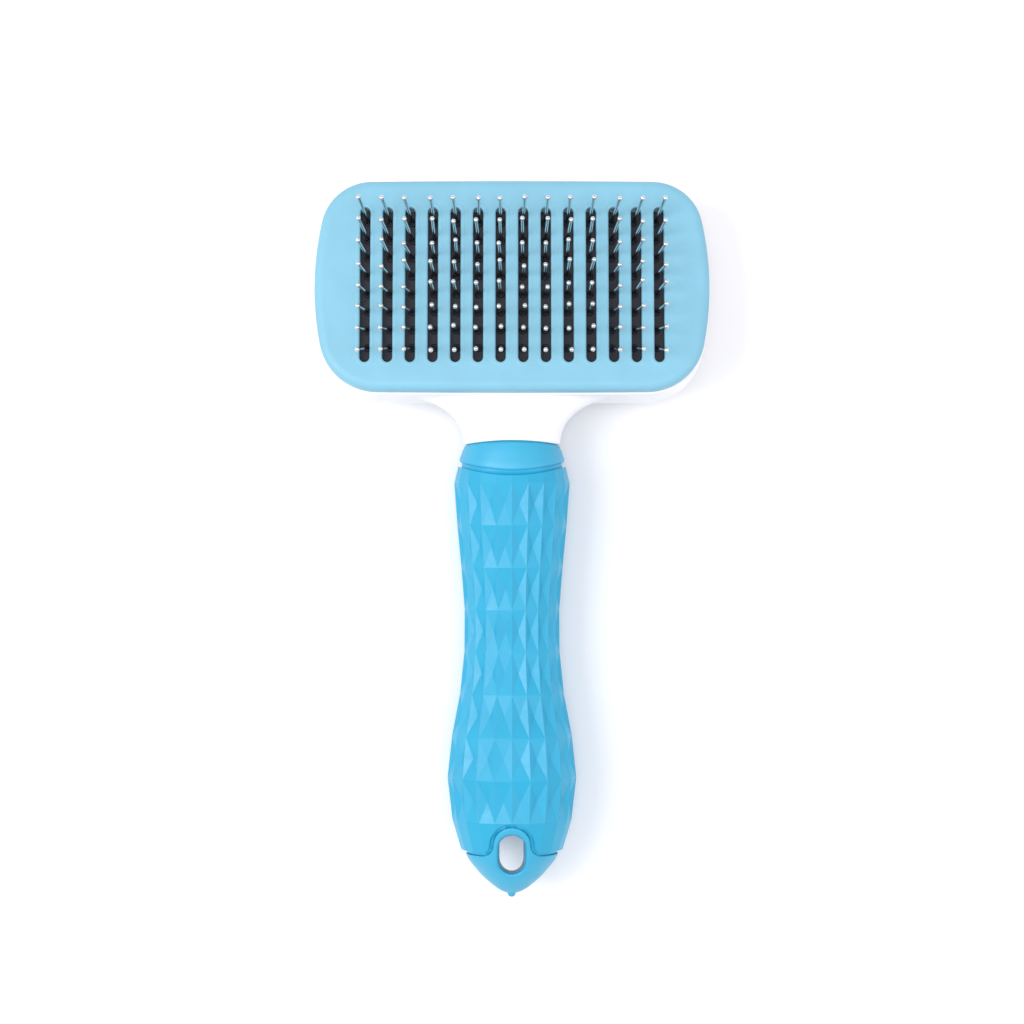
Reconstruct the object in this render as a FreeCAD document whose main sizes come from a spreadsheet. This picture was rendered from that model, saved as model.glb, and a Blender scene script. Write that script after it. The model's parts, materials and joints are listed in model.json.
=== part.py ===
import FreeCAD, Part
import math
import os
import Sketcher
from FreeCAD import Placement, Rotation, Vector

# Slicker brush with a push-out face plate. Row frame: +Y along the brush towards the head, +Z the way the
# pins point, origin under the middle of the brush. The head is drawn in its own frame, whose origin is the
# middle of the face plate's top, and then tilted about X.

SIZES = [
    ("overall_width", 106.5, "head housing, side to side"),
    ("overall_length", 194, "face plate's far edge to the nub on the end cap"),
    ("head_tilt", 9, "degrees between the head and the handle"),
    ("plate_length", 57.6, "face plate, far edge to near edge"),
    ("rim_margin", 0.3, "housing outline outside the face plate"),
    ("side_bulge_radius", 84, "radius of the head's bowed sides"),
    ("end_bulge_radius", 4000, "radius of the head's nearly straight ends"),
    ("far_corner_radius", 14, "corner radius at the far end"),
    ("near_corner_radius", 16, "corner radius next to the handle"),
    ("plate_thickness", 2.2, "face plate slab"),
    ("plate_skirt", 4.5, "face plate rim, top to lower edge"),
    ("plate_rim_wall", 1.7, "face plate rim wall"),
    ("plate_edge_radius", 1.5, "rounded top edge of the face plate"),
    ("slot_side_margin", 13.6, "plate side to the outermost slot centre"),
    ("slot_end_margin", 7.6, "plate end to the slot's end"),
    ("slot_width", 2.7, "slot width"),
    ("slot_count", 14, "number of slots and of pin columns"),
    ("pin_rows", 8, "pins in one column"),
    ("pin_row_margin", 4, "slot's end to the last pin"),
    ("pin_row_shift", 0.35, "pin field's shift towards the far end"),
    ("pin_diameter", 0.8, "pin wire"),
    ("pin_ball_diameter", 1.35, "ball on a pin's tip"),
    ("pin_reach", 10.8, "ball centre above the face plate"),
    ("pin_head_diameter", 1.6, "flat head inside the pin base"),
    ("pin_head_thickness", 0.5, "flat head inside the pin base"),
    ("pin_fit", 0.03, "clearance round a pin in the pin base"),
    ("pin_end_lean", 3.3, "how far the end pins lean along the brush"),
    ("pin_side_lean", 1.3, "how far the outer columns lean sideways"),
    ("pin_foot_ratio", 0.98, "pin feet spacing over slot spacing"),
    ("plate_gap", 0.8, "face plate to pin base"),
    ("base_thickness", 3, "pin base"),
    ("base_margin", 3.2, "pin base beyond the outermost column"),
    ("base_end_margin", 0.6, "pin base end, short of the slot's end"),
    ("base_corner", 1, "corner radius of the pin base and its backing plate"),
    ("backing_thickness", 1.2, "pin backing plate"),
    ("backing_inset", 1, "backing plate edge inside the pin base edge"),
    ("deck_thickness", 1.5, "housing deck under the pins"),
    ("travel", 7, "stroke of the face plate"),
    ("moving_gap", 0.3, "gap beside moving pieces"),
    ("seat_gap", 0.1, "gap at the rest stop"),
    ("shell_wall", 2, "housing wall"),
    ("yoke_thickness", 2.4, "pusher yoke"),
    ("yoke_half_bar", 9, "half width of the yoke's long bar"),
    ("yoke_arm_half", 2.9, "half width of the yoke's end arms"),
    ("yoke_arm_overhang", 3.3, "yoke's end arms past the post centres"),
    ("yoke_arm_corner", 2, "corner radius of the yoke's end arms"),
    ("cover_thickness", 2, "rear cover"),
    ("cover_depth", 4, "rear cover, parting line to back face"),
    ("cover_edge_radius", 3, "rounded back edge of the rear cover"),
    ("post_inset", 6.75, "housing side to post centre"),
    ("post_end_inset", 15.9, "housing end to post centre"),
    ("post_radius", 2.2, "face plate posts"),
    ("post_fit", 0.1, "clearance round a post in the deck"),
    ("button_width", 32, "push button, side to side"),
    ("button_length", 22, "push button, along the brush"),
    ("button_corner", 5, "push button's corner radius"),
    ("button_edge", 2, "push button's rounded face edge"),
    ("button_wall", 1.8, "push button's wall"),
    ("button_stand", 1.5, "push button above the cover when pushed in"),
    ("spring_offset", 10.5, "return spring from the middle"),
    ("spring_radius", 2.9, "return spring, middle of the wire"),
    ("spring_wire", 0.7, "return spring wire"),
    ("spring_turns", 7, "turns of a return spring"),
    ("spring_room", 1.3, "clearance round a spring's middle line in the yoke"),
    ("spring_seat_gap", 0.05, "gap between a spring's end and its seat"),
    ("spring_peg_radius", 2.2, "pegs inside the springs"),
    ("spring_peg_height", 2, "pegs inside the springs"),
    ("screw_radius", 0.9, "screw shank"),
    ("screw_hole_gap", 0.2, "clearance round a shank that passes through"),
    ("screw_head_radius", 1.9, "screw head"),
    ("screw_head_height", 1.2, "screw head"),
    ("screw_head_gap", 0.25, "clearance round a sunk screw head"),
    ("screw_bite", 5, "screw length in the piece it holds"),
    ("screw_end_gap", 1, "screw hole beyond the screw's end"),
    ("pack_screw_bite", 1, "pin pack screws, length in the pin base"),
    ("recess_depth", 0.6, "depth of a screw's cross recess"),
    ("recess_reach", 1.05, "half length of a bar of the cross recess"),
    ("recess_width", 0.45, "width of a bar of the cross recess"),
    ("cover_screw_side", 30, "rear cover screws from the middle line"),
    ("cover_screw_inset", 8.5, "rear cover screws from the housing's ends"),
    ("boss_radius", 3, "screw bosses in the housing"),
    ("button_boss_radius", 2.2, "screw bosses in the button"),
    ("button_screw_offset", 6.5, "button screws from the middle"),
    ("neck_length", 11.7, "housing to collar at the sides"),
    ("neck_half_width", 13.35, "neck where it meets the collar"),
    ("neck_flare_radius", 10.7, "arc from the neck into the housing"),
    ("neck_root_inset", 1.3, "neck's root inside the housing wall's edges"),
    ("neck_overlap", 2, "neck's start, above the collar's lower edge, before it is trimmed"),
    ("collar_length", 4.3, "collar at its sides"),
    ("collar_top_arch", 1.6, "rise of the collar's upper edge"),
    ("collar_low_arch", 2.4, "drop of the collar's lower edge"),
    ("collar_half_width", 13.1, "collar at its upper edge"),
    ("collar_flare", 1.2, "growth of the collar to its lower edge"),
    ("joint_gap", 0.2, "gap between neck and collar"),
    ("depth_ratio", 0.92, "handle depth over handle width"),
    ("first_ring_gap", 5.5, "collar to the first grip ring"),
    ("last_ring_height", 21.4, "tip to the last grip ring"),
    ("cap_height", 12.1, "tip to the end cap's seam"),
    ("groove_width", 1.1, "grooves at the collar and the end cap"),
    ("groove_depth", 1.2, "grooves at the collar and the end cap"),
    ("tongue_half_width", 5, "end cap's arch round the hanging slot"),
    ("tongue_rise", 3.2, "arch centre above the seam"),
    ("hang_half_width", 3.6, "hanging slot"),
    ("hang_half_length", 5.4, "hanging slot"),
    ("hang_height", 12.7, "tip to the middle of the hanging slot"),
    ("nub_radius", 1.1, "moulding nub at the tip"),
    ("nub_height", 1.2, "moulding nub at the tip"),
    ("tang_half_width", 8.5, "tang inside the grip"),
    ("tang_half_depth", 7, "tang inside the grip"),
    ("tang_fit", 0.2, "clearance round the tang"),
    ("tang_end_height", 35, "tip to the tang's end"),
    ("tang_root", 3, "tang's start inside the neck"),
    ("spigot_drop", 2, "end cap's spigot below its seam"),
    ("stud_radius", 2.5, "snap stud on the tang's end"),
    ("stud_length", 9, "snap stud on the tang's end"),
    ("stud_fit", 0.05, "clearance round the snap stud"),
]

# Half widths of the grip at its nine rings, collar end first, and the two ends it runs out to.
RING_HALF_WIDTHS = [15.66, 14.84, 13.75, 12.85, 12.91, 14.08, 16.25, 17.48, 16.17]
GRIP_START_HALF_WIDTH = 13.6
GRIP_END_HALF_WIDTH = 12.5
RIDGE_COUNT = 22

# The end cap's half widths at heights over the tip, after the nub's, and the neck's sections along it.
CAP_HALF_WIDTHS = [(22, 15.6), (17, 14.3), (12.6, 12.8), (10.3, 11.7), (8.2, 10.07), (6, 8.17), (3.8, 5.72)]
CAP_TIP_HALF_WIDTH = 1.9
NECK_STEPS = [0.45, 0.62, 0.76, 0.87, 0.95, 1]
NECK_SQUARENESS = 0.75
NECK_SIDES = 48
NECK_LEAST_RISE = 0.3

# How the pins are set: columns beyond a share of the half width lean outwards in full, and the others
# less. The rest is how uneven the tips are: least at the slots' ends and in the outer columns.
FULL_LEAN_FROM = 0.6
MIDDLE_LEAN = 0.4
END_LEAN_POWER = 1.2
SIDE_UNEVENNESS = 0.5
OUTER_STEADINESS = 0.4
END_UNEVENNESS = 0.2
MIDDLE_UNEVENNESS = 0.9

# Flat sides of the return springs' wire.
WIRE_SIDES = 12

# Pin pitches from the middle to the pin pack screws, which stand between the pins.
PACK_SCREW_PITCHES = 3

# How far a cutter or a loft runs past what it cuts.
THROUGH = 1
GRIP_OVERRUN = 3
COLLAR_OVERRUN = 6
COLLAR_OVERRUN_TAPER = 0.3
PAST = 20
FAR_AWAY = 60

doc = FreeCAD.newDocument("slicker_brush")
sheet = doc.addObject("Spreadsheet::Sheet", "sizes")
for row, (alias, amount, meaning) in enumerate(SIZES, start=1):
    sheet.set(f"A{row}", meaning)
    sheet.set(f"B{row}", str(amount))
    sheet.setAlias(f"B{row}", alias)
doc.recompute()


class Size:
    """A measure tied to the sheet: the number it has now, and the expression that gives it."""

    def __init__(self, number, text):
        self.number = float(number)
        self.text = text

    def __add__(self, other):
        other = as_size(other)
        return Size(self.number + other.number, f"({self.text} + {other.text})")

    def __sub__(self, other):
        other = as_size(other)
        return Size(self.number - other.number, f"({self.text} - {other.text})")

    def __mul__(self, other):
        other = as_size(other)
        return Size(self.number * other.number, f"({self.text} * {other.text})")

    def __truediv__(self, other):
        other = as_size(other)
        return Size(self.number / other.number, f"({self.text} / {other.text})")

    def __neg__(self):
        return self * -1


def as_size(value):
    return value if isinstance(value, Size) else Size(value, str(value))


def size(alias):
    return Size(sheet.get(alias), f"sizes.{alias}")


ZERO = as_size(0)

# Levels in the head's frame, counted from the face plate's top.
plate_under = -size("plate_thickness")
skirt_under = -size("plate_skirt")
base_top = plate_under - size("plate_gap")
base_under = base_top - size("base_thickness")
deck_top = base_under - size("backing_thickness")
deck_under = deck_top - size("deck_thickness")
yoke_top = deck_under - size("travel") - size("moving_gap")
yoke_under = yoke_top - size("yoke_thickness")
cover_inner = yoke_under - size("seat_gap")
cover_outer = cover_inner - size("cover_thickness")
parting = cover_outer + size("cover_depth")
rim_top = skirt_under - size("moving_gap")
button_face = cover_outer - size("travel") - size("button_stand")
button_floor = button_face + size("button_wall")

# Outlines and patterns in the head's frame.
plate_width = size("overall_width") - size("rim_margin") * 2
half_width = size("overall_width") / 2
half_length = size("plate_length") / 2 + size("rim_margin")
slot_pitch = (plate_width - size("slot_side_margin") * 2) / (size("slot_count") - 1)
slot_length = size("plate_length") - size("slot_end_margin") * 2
row_pitch = (slot_length - size("pin_row_margin") * 2) / (size("pin_rows") - 1)
foot_pitch = slot_pitch * size("pin_foot_ratio")
post_side = half_width - size("post_inset")
post_along = half_length - size("post_end_inset")
yoke_arm_reach = post_along + size("yoke_arm_overhang")
base_half_width = foot_pitch * (size("slot_count") - 1) / 2 + size("base_margin")
base_half_length = slot_length / 2 - size("base_end_margin")
hole_radius = size("screw_radius") + size("screw_hole_gap")
sunk_radius = size("screw_head_radius") + size("screw_head_gap")
pack_screw_x = foot_pitch * PACK_SCREW_PITCHES
pack_screw_y = row_pitch * PACK_SCREW_PITCHES
cover_screw_y = half_length - size("cover_screw_inset")
pack_screw_length = size("deck_thickness") + size("backing_thickness") + size("pack_screw_bite")
bite = size("screw_bite") - size("screw_end_gap")
cover_screw_length = size("cover_thickness") - size("screw_head_height") + bite
yoke_screw_length = size("yoke_thickness") - size("screw_head_height") + bite

# The head's place in the row frame.
tilt = math.radians(size("head_tilt").number)
edge = size("plate_edge_radius").number
far_y = size("overall_length").number / 2
head_y = far_y - (size("plate_length").number / 2) * math.cos(tilt) + edge * math.sin(tilt)
button_edge_y = size("button_length").number / 2 - size("button_edge").number
button_edge_z = -button_face.number - size("button_edge").number
head_z = button_edge_y * math.sin(tilt) + button_edge_z * math.cos(tilt) + size("button_edge").number
head_place = Placement(Vector(0, head_y, head_z), Rotation(Vector(1, 0, 0), -size("head_tilt").number))

# The handle's levels along Y, counted from the head or from the tip.
tip_y = -size("overall_length").number / 2
near_y = head_place.multVec(Vector(0, -half_length.number, cover_inner.number)).y
collar_top_y = near_y - size("neck_length").number
collar_low_y = collar_top_y - size("collar_length").number
first_ring_y = collar_low_y - size("first_ring_gap").number
last_ring_y = tip_y + size("last_ring_height").number
cap_seam_y = tip_y + size("cap_height").number
tang_end_y = tip_y + size("tang_end_height").number
hang_y = tip_y + size("hang_height").number
depth_ratio = size("depth_ratio").number
axis_z = depth_ratio * max(RING_HALF_WIDTHS)

# The collar's two arched edges: their half chords and the height of their middles.
top_chord = size("collar_half_width").number
low_chord = top_chord + size("collar_flare").number
top_arch_y = collar_top_y + size("collar_top_arch").number
low_arch_y = collar_low_y - size("collar_low_arch").number
bore_half_width = size("tang_half_width").number + size("tang_fit").number
bore_half_depth = size("tang_half_depth").number + size("tang_fit").number

finished = []


def tie(item, prop, value):
    """Bind a property to the sheet."""
    item.setExpression(prop, as_size(value).text)


def finish(item, label, place=None):
    """Name a finished sub-part and put it in its place."""
    if place is not None:
        item.Placement = place
    item.Label = label
    finished.append(item)
    return item


# Sketches -----------------------------------------------------------------------------------------

def sketch_at(body, name, level):
    sketch = body.newObject("Sketcher::SketchObject", name)
    plane = [item for item in body.Origin.OriginFeatures if item.Role == "XY_Plane"][0]
    sketch.AttachmentSupport = [(plane, "")]
    sketch.MapMode = "FlatFace"
    tie(sketch, "AttachmentOffset.Base.z", level)
    return sketch


def hold(sketch, kind, points, value):
    """A dimension in a sketch that follows the sheet."""
    index = sketch.addConstraint(Sketcher.Constraint(kind, *points, value.number))
    sketch.setExpression(f"Constraints[{index}]", value.text)


def hold_point(sketch, shape, point, x, y):
    if abs(x.number) < 1e-9:
        sketch.addConstraint(Sketcher.Constraint("PointOnObject", shape, point, -2))
    else:
        hold(sketch, "DistanceX", (-1, 1, shape, point), x)
    if abs(y.number) < 1e-9:
        sketch.addConstraint(Sketcher.Constraint("PointOnObject", shape, point, -1))
    else:
        hold(sketch, "DistanceY", (-1, 1, shape, point), y)


def draw_circle(sketch, x, y, radius):
    circle = Part.Circle(Vector(x.number, y.number, 0), Vector(0, 0, 1), radius.number)
    shape = sketch.addGeometry(circle, False)
    hold(sketch, "Radius", (shape,), radius)
    hold_point(sketch, shape, 3, x, y)


def draw_box(sketch, x, y, half_x, half_y, corner=None):
    """A rectangle, with round corners where a corner radius is given."""
    left, right = x - half_x, x + half_x
    low, high = y - half_y, y + half_y
    cut = corner.number if corner else 0
    ends = [
        ((left.number + cut, low.number), (right.number - cut, low.number)),
        ((right.number, low.number + cut), (right.number, high.number - cut)),
        ((right.number - cut, high.number), (left.number + cut, high.number)),
        ((left.number, high.number - cut), (left.number, low.number + cut)),
    ]
    lines = []
    for start, end in ends:
        line = Part.LineSegment(Vector(*start, 0), Vector(*end, 0))
        lines.append(sketch.addGeometry(line, False))
    for index, kind in enumerate(("Horizontal", "Vertical", "Horizontal", "Vertical")):
        sketch.addConstraint(Sketcher.Constraint(kind, lines[index]))
    if corner:
        centres = [(right, low), (right, high), (left, high), (left, low)]
        signs = [(-1, 1), (-1, -1), (1, -1), (1, 1)]
        for index in range(4):
            centre_x = centres[index][0].number + signs[index][0] * cut
            centre_y = centres[index][1].number + signs[index][1] * cut
            circle = Part.Circle(Vector(centre_x, centre_y, 0), Vector(0, 0, 1), cut)
            turn = -math.pi / 2 + index * math.pi / 2
            arc = sketch.addGeometry(Part.ArcOfCircle(circle, turn, turn + math.pi / 2), False)
            after = lines[(index + 1) % 4]
            sketch.addConstraint(Sketcher.Constraint("Tangent", lines[index], 2, arc, 1))
            sketch.addConstraint(Sketcher.Constraint("Tangent", arc, 2, after, 1))
            hold(sketch, "Radius", (arc,), corner)
    else:
        for index in range(4):
            after = lines[(index + 1) % 4]
            sketch.addConstraint(Sketcher.Constraint("Coincident", lines[index], 2, after, 1))
    hold(sketch, "DistanceY", (-1, 1, lines[0], 1), low)
    hold(sketch, "DistanceX", (-1, 1, lines[1], 1), right)
    hold(sketch, "DistanceY", (-1, 1, lines[2], 1), high)
    hold(sketch, "DistanceX", (-1, 1, lines[3], 1), left)


def draw_slot(sketch, x, half_long, radius):
    """A slot along Y with round ends, centred on the X axis."""
    reach = half_long - radius
    sides = (x - radius).number, (x + radius).number
    ends = (reach.number, -reach.number)
    top = Part.Circle(Vector(x.number, ends[0], 0), Vector(0, 0, 1), radius.number)
    low = Part.Circle(Vector(x.number, ends[1], 0), Vector(0, 0, 1), radius.number)
    top_arc = sketch.addGeometry(Part.ArcOfCircle(top, 0, math.pi), False)
    left_line = Part.LineSegment(Vector(sides[0], ends[0], 0), Vector(sides[0], ends[1], 0))
    left = sketch.addGeometry(left_line, False)
    low_arc = sketch.addGeometry(Part.ArcOfCircle(low, math.pi, 2 * math.pi), False)
    right_line = Part.LineSegment(Vector(sides[1], ends[1], 0), Vector(sides[1], ends[0], 0))
    right = sketch.addGeometry(right_line, False)
    ring = [top_arc, left, low_arc, right]
    for index in range(4):
        after = ring[(index + 1) % 4]
        sketch.addConstraint(Sketcher.Constraint("Tangent", ring[index], 2, after, 1))
    sketch.addConstraint(Sketcher.Constraint("Vertical", left))
    sketch.addConstraint(Sketcher.Constraint("Vertical", right))
    hold(sketch, "Radius", (top_arc,), radius)
    hold_point(sketch, top_arc, 3, x, reach)
    hold(sketch, "DistanceY", (-1, 1, low_arc, 3), -reach)


def corner_centre(side_centre, side_reach, end_centre, end_reach, way):
    """Where a corner arc's centre lies: the given distances from a side arc's and an end arc's centre."""
    apart = math.hypot(side_centre, end_centre)
    along = (side_reach ** 2 - end_reach ** 2 + apart ** 2) / (2 * apart)
    off = math.sqrt(side_reach ** 2 - along ** 2)
    step = Vector(-side_centre, end_centre, 0) / apart
    foot = Vector(side_centre, 0, 0) + step * along
    across = Vector(-step.y, step.x, 0) * off
    return foot + across if (foot + across).y * way > (foot - across).y * way else foot - across


def draw_outline(sketch, inset):
    """The head's outline, moved inwards: four bowed sides joined by four corner arcs."""
    side_radius = size("side_bulge_radius") - inset
    end_radius = size("end_bulge_radius") - inset
    side_x = half_width - size("side_bulge_radius")
    end_y = half_length - size("end_bulge_radius")
    corners = [("far_corner_radius", 1), ("near_corner_radius", -1)]
    centres = {}
    for alias, way in corners:
        radius = size(alias) - inset
        side_reach = side_radius.number - radius.number
        end_reach = end_radius.number - radius.number
        centres[way] = corner_centre(side_x.number, side_reach, way * end_y.number, end_reach, way)

    def angle_to(start, point):
        return math.atan2(point.y - start.y, point.x - start.x)

    def add_arc(centre, radius, start, end):
        circle = Part.Circle(centre, Vector(0, 0, 1), radius.number)
        while end < start:
            end += 2 * math.pi
        arc = sketch.addGeometry(Part.ArcOfCircle(circle, start, end), False)
        hold(sketch, "Radius", (arc,), radius)
        return arc

    far = centres[1]
    near = centres[-1]
    right = Vector(side_x.number, 0, 0)
    left = Vector(-side_x.number, 0, 0)
    top = Vector(0, end_y.number, 0)
    low = Vector(0, -end_y.number, 0)
    far_left = Vector(-far.x, far.y, 0)
    near_left = Vector(-near.x, near.y, 0)
    far_radius = size("far_corner_radius") - inset
    near_radius = size("near_corner_radius") - inset
    ring = [
        add_arc(right, side_radius, angle_to(right, near), angle_to(right, far)),
        add_arc(far, far_radius, angle_to(right, far), angle_to(top, far)),
        add_arc(top, end_radius, angle_to(top, far), angle_to(top, far_left)),
        add_arc(far_left, far_radius, angle_to(top, far_left), angle_to(left, far_left)),
        add_arc(left, side_radius, angle_to(left, far_left), angle_to(left, near_left)),
        add_arc(near_left, near_radius, angle_to(left, near_left), angle_to(low, near_left)),
        add_arc(low, end_radius, angle_to(low, near_left), angle_to(low, near)),
        add_arc(near, near_radius, angle_to(low, near), angle_to(right, near)),
    ]
    for index in range(8):
        after = ring[(index + 1) % 8]
        sketch.addConstraint(Sketcher.Constraint("Tangent", ring[index], 2, after, 1))
    hold_point(sketch, ring[0], 3, side_x, ZERO)
    hold_point(sketch, ring[2], 3, ZERO, end_y)
    hold_point(sketch, ring[4], 3, -side_x, ZERO)
    hold_point(sketch, ring[6], 3, ZERO, -end_y)


# Features -----------------------------------------------------------------------------------------

def extrude(body, kind, name, sketch, length, upwards):
    """Pad or pocket a sketch. A pad goes up by itself and a pocket down."""
    feature = body.newObject(f"PartDesign::{kind}", name)
    feature.Profile = sketch
    tie(feature, "Length", length)
    feature.Reversed = upwards == (kind == "Pocket")
    sketch.Visibility = False
    return feature


def pad(body, name, sketch, length, upwards=True):
    return extrude(body, "Pad", name, sketch, length, upwards)


def pocket(body, name, sketch, length, upwards=False):
    return extrude(body, "Pocket", name, sketch, length, upwards)


def circles(body, name, level, points, radius):
    sketch = sketch_at(body, name, level)
    for x, y in points:
        draw_circle(sketch, x, y, radius)
    return sketch


def round_edges(body, name, radius, level):
    """Fillet every outer edge that lies at one level."""
    doc.recompute()
    tip = body.Tip
    names = []
    for index, item in enumerate(tip.Shape.Edges, start=1):
        if all(abs(point.Z - level.number) < 1e-6 for point in item.Vertexes):
            names.append(f"Edge{index}")
    feature = body.newObject("PartDesign::Fillet", name)
    feature.Base = (tip, names)
    tie(feature, "Radius", radius)
    return feature


def repeat(body, name, feature, sketch, axis, length, count):
    pattern = body.newObject("PartDesign::LinearPattern", name)
    pattern.Originals = [feature]
    pattern.Direction = (sketch, [axis])
    tie(pattern, "Length", length)
    tie(pattern, "Occurrences", count)
    body.Tip = pattern
    return pattern


def four(x, y, shift=ZERO):
    return [(x, shift + y), (-x, shift + y), (x, shift - y), (-x, shift - y)]


post_points = four(post_side, post_along)
cover_screw_points = four(size("cover_screw_side"), cover_screw_y)
pack_screw_points = four(pack_screw_x, pack_screw_y, size("pin_row_shift"))
button_screw_points = [(ZERO, size("button_screw_offset")), (ZERO, -size("button_screw_offset"))]
spring_points = [(-size("spring_offset"), ZERO), (size("spring_offset"), ZERO)]


# The head's pieces --------------------------------------------------------------------------------

def make_face_plate():
    body = doc.addObject("PartDesign::Body", "FacePlate")
    outline = sketch_at(body, "PlateOutline", skirt_under)
    draw_outline(outline, size("rim_margin"))
    pad(body, "PlateSlab", outline, size("plate_skirt"))
    round_edges(body, "PlateEdge", size("plate_edge_radius"), ZERO)
    hollow = sketch_at(body, "PlateHollow", skirt_under)
    draw_outline(hollow, size("rim_margin") + size("plate_rim_wall"))
    pocket(body, "PlateUnderside", hollow, size("plate_skirt") - size("plate_thickness"), upwards=True)
    first = slot_pitch * (size("slot_count") - 1) / -2
    slot = sketch_at(body, "SlotOutline", ZERO)
    draw_slot(slot, first, slot_length / 2, size("slot_width") / 2)
    cut = pocket(body, "FirstSlot", slot, size("plate_thickness") + THROUGH)
    repeat(body, "Slots", cut, slot, "H_Axis", slot_pitch * (size("slot_count") - 1), size("slot_count"))
    posts = circles(body, "PostRings", plate_under, post_points, size("post_radius"))
    pad(body, "Posts", posts, plate_under - yoke_top, upwards=False)
    pilots = circles(body, "PilotRings", yoke_top, post_points, size("screw_radius"))
    pocket(body, "Pilots", pilots, size("screw_bite"), upwards=True)
    finish(body, "face_plate", head_place)


def make_tub():
    """The head housing's tub, without the neck and tang."""
    body = doc.addObject("PartDesign::Body", "HousingTub")
    outline = sketch_at(body, "TubOutline", parting)
    draw_outline(outline, ZERO)
    pad(body, "TubWall", outline, rim_top - parting)
    front = sketch_at(body, "TubFront", rim_top)
    draw_outline(front, size("shell_wall"))
    pocket(body, "FrontHollow", front, rim_top - deck_top)
    back = sketch_at(body, "TubBack", parting)
    draw_outline(back, size("shell_wall"))
    pocket(body, "BackHollow", back, deck_under - parting, upwards=True)
    bosses = circles(body, "BossRings", deck_under, cover_screw_points, size("boss_radius"))
    pad(body, "Bosses", bosses, deck_under - cover_inner, upwards=False)
    pilots = circles(body, "BossPilots", cover_inner, cover_screw_points, size("screw_radius"))
    pocket(body, "BossHoles", pilots, size("screw_bite"), upwards=True)
    pegs = circles(body, "PegRings", deck_under, spring_points, size("spring_peg_radius"))
    pad(body, "SpringPegs", pegs, size("spring_peg_height"), upwards=False)
    guides = circles(body, "GuideRings", deck_top, post_points, size("post_radius") + size("post_fit"))
    pocket(body, "PostGuides", guides, size("deck_thickness") + THROUGH)
    passes = circles(body, "PackScrewRings", deck_top, pack_screw_points, hole_radius)
    pocket(body, "PackScrewHoles", passes, size("deck_thickness") + THROUGH)
    body.Placement = head_place
    return body


def make_rear_cover():
    body = doc.addObject("PartDesign::Body", "RearCover")
    outline = sketch_at(body, "CoverOutline", cover_outer)
    draw_outline(outline, ZERO)
    pad(body, "CoverTray", outline, size("cover_depth"))
    round_edges(body, "CoverEdge", size("cover_edge_radius"), cover_outer)
    hollow = sketch_at(body, "CoverHollow", parting)
    draw_outline(hollow, size("shell_wall"))
    pocket(body, "CoverInside", hollow, parting - cover_inner)
    opening = sketch_at(body, "ButtonOpening", cover_inner)
    half_x = size("button_width") / 2 + size("moving_gap")
    half_y = size("button_length") / 2 + size("moving_gap")
    draw_box(opening, ZERO, ZERO, half_x, half_y, size("button_corner") + size("moving_gap"))
    pocket(body, "ButtonHole", opening, size("cover_thickness") + THROUGH)
    passes = circles(body, "ScrewRings", cover_inner, cover_screw_points, hole_radius)
    pocket(body, "ScrewHoles", passes, size("cover_thickness") + THROUGH)
    sinks = circles(body, "SinkRings", cover_outer, cover_screw_points, sunk_radius)
    pocket(body, "ScrewSinks", sinks, size("screw_head_height"), upwards=True)
    finish(body, "rear_cover", head_place)


def make_pin_base():
    body = doc.addObject("PartDesign::Body", "PinBase")
    outline = sketch_at(body, "BaseOutline", base_under)
    draw_box(outline, ZERO, ZERO, base_half_width, base_half_length, size("base_corner"))
    pad(body, "BaseSlab", outline, size("base_thickness"))
    first_x = foot_pitch * (size("slot_count") - 1) / -2
    first_y = size("pin_row_shift") - row_pitch * (size("pin_rows") - 1) / 2
    first = [(first_x, first_y)]
    hole = circles(body, "PinRing", base_top, first, size("pin_diameter") / 2 + size("pin_fit"))
    cut = pocket(body, "FirstPinHole", hole, size("base_thickness") + THROUGH)
    seat = circles(body, "SeatRing", base_under, first, size("pin_head_diameter") / 2 + size("pin_fit"))
    sink = pocket(body, "FirstPinSeat", seat, size("pin_head_thickness"), upwards=True)
    pattern = body.newObject("PartDesign::LinearPattern", "PinHoles")
    pattern.Originals = [cut, sink]
    pattern.Direction = (hole, ["H_Axis"])
    tie(pattern, "Length", foot_pitch * (size("slot_count") - 1))
    tie(pattern, "Occurrences", size("slot_count"))
    pattern.Direction2 = (hole, ["V_Axis"])
    tie(pattern, "Length2", row_pitch * (size("pin_rows") - 1))
    tie(pattern, "Occurrences2", size("pin_rows"))
    body.Tip = pattern
    pilots = circles(body, "PackPilots", base_under, pack_screw_points, size("screw_radius"))
    pocket(body, "PackPilotHoles", pilots, size("base_thickness") / 2, upwards=True)
    finish(body, "pin_base", head_place)


def make_backing_plate():
    body = doc.addObject("PartDesign::Body", "BackingPlate")
    outline = sketch_at(body, "BackingOutline", deck_top)
    half_x = base_half_width - size("backing_inset")
    half_y = base_half_length - size("backing_inset")
    draw_box(outline, ZERO, ZERO, half_x, half_y, size("base_corner"))
    pad(body, "BackingSlab", outline, size("backing_thickness"))
    passes = circles(body, "BackingRings", deck_top, pack_screw_points, hole_radius)
    pocket(body, "BackingHoles", passes, size("backing_thickness") + THROUGH, upwards=True)
    finish(body, "pin_backing_plate", head_place)


def unevenness(column, row, seed):
    """A fixed, uneven number from -1 to 1 for each pin, because hand-set pins are never all alike."""
    swing = math.sin(12.9898 * (column + 1) + 78.233 * (row + 1) + 37.719 * seed) * 43758.5453
    return 2 * (swing - math.floor(swing)) - 1


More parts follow.
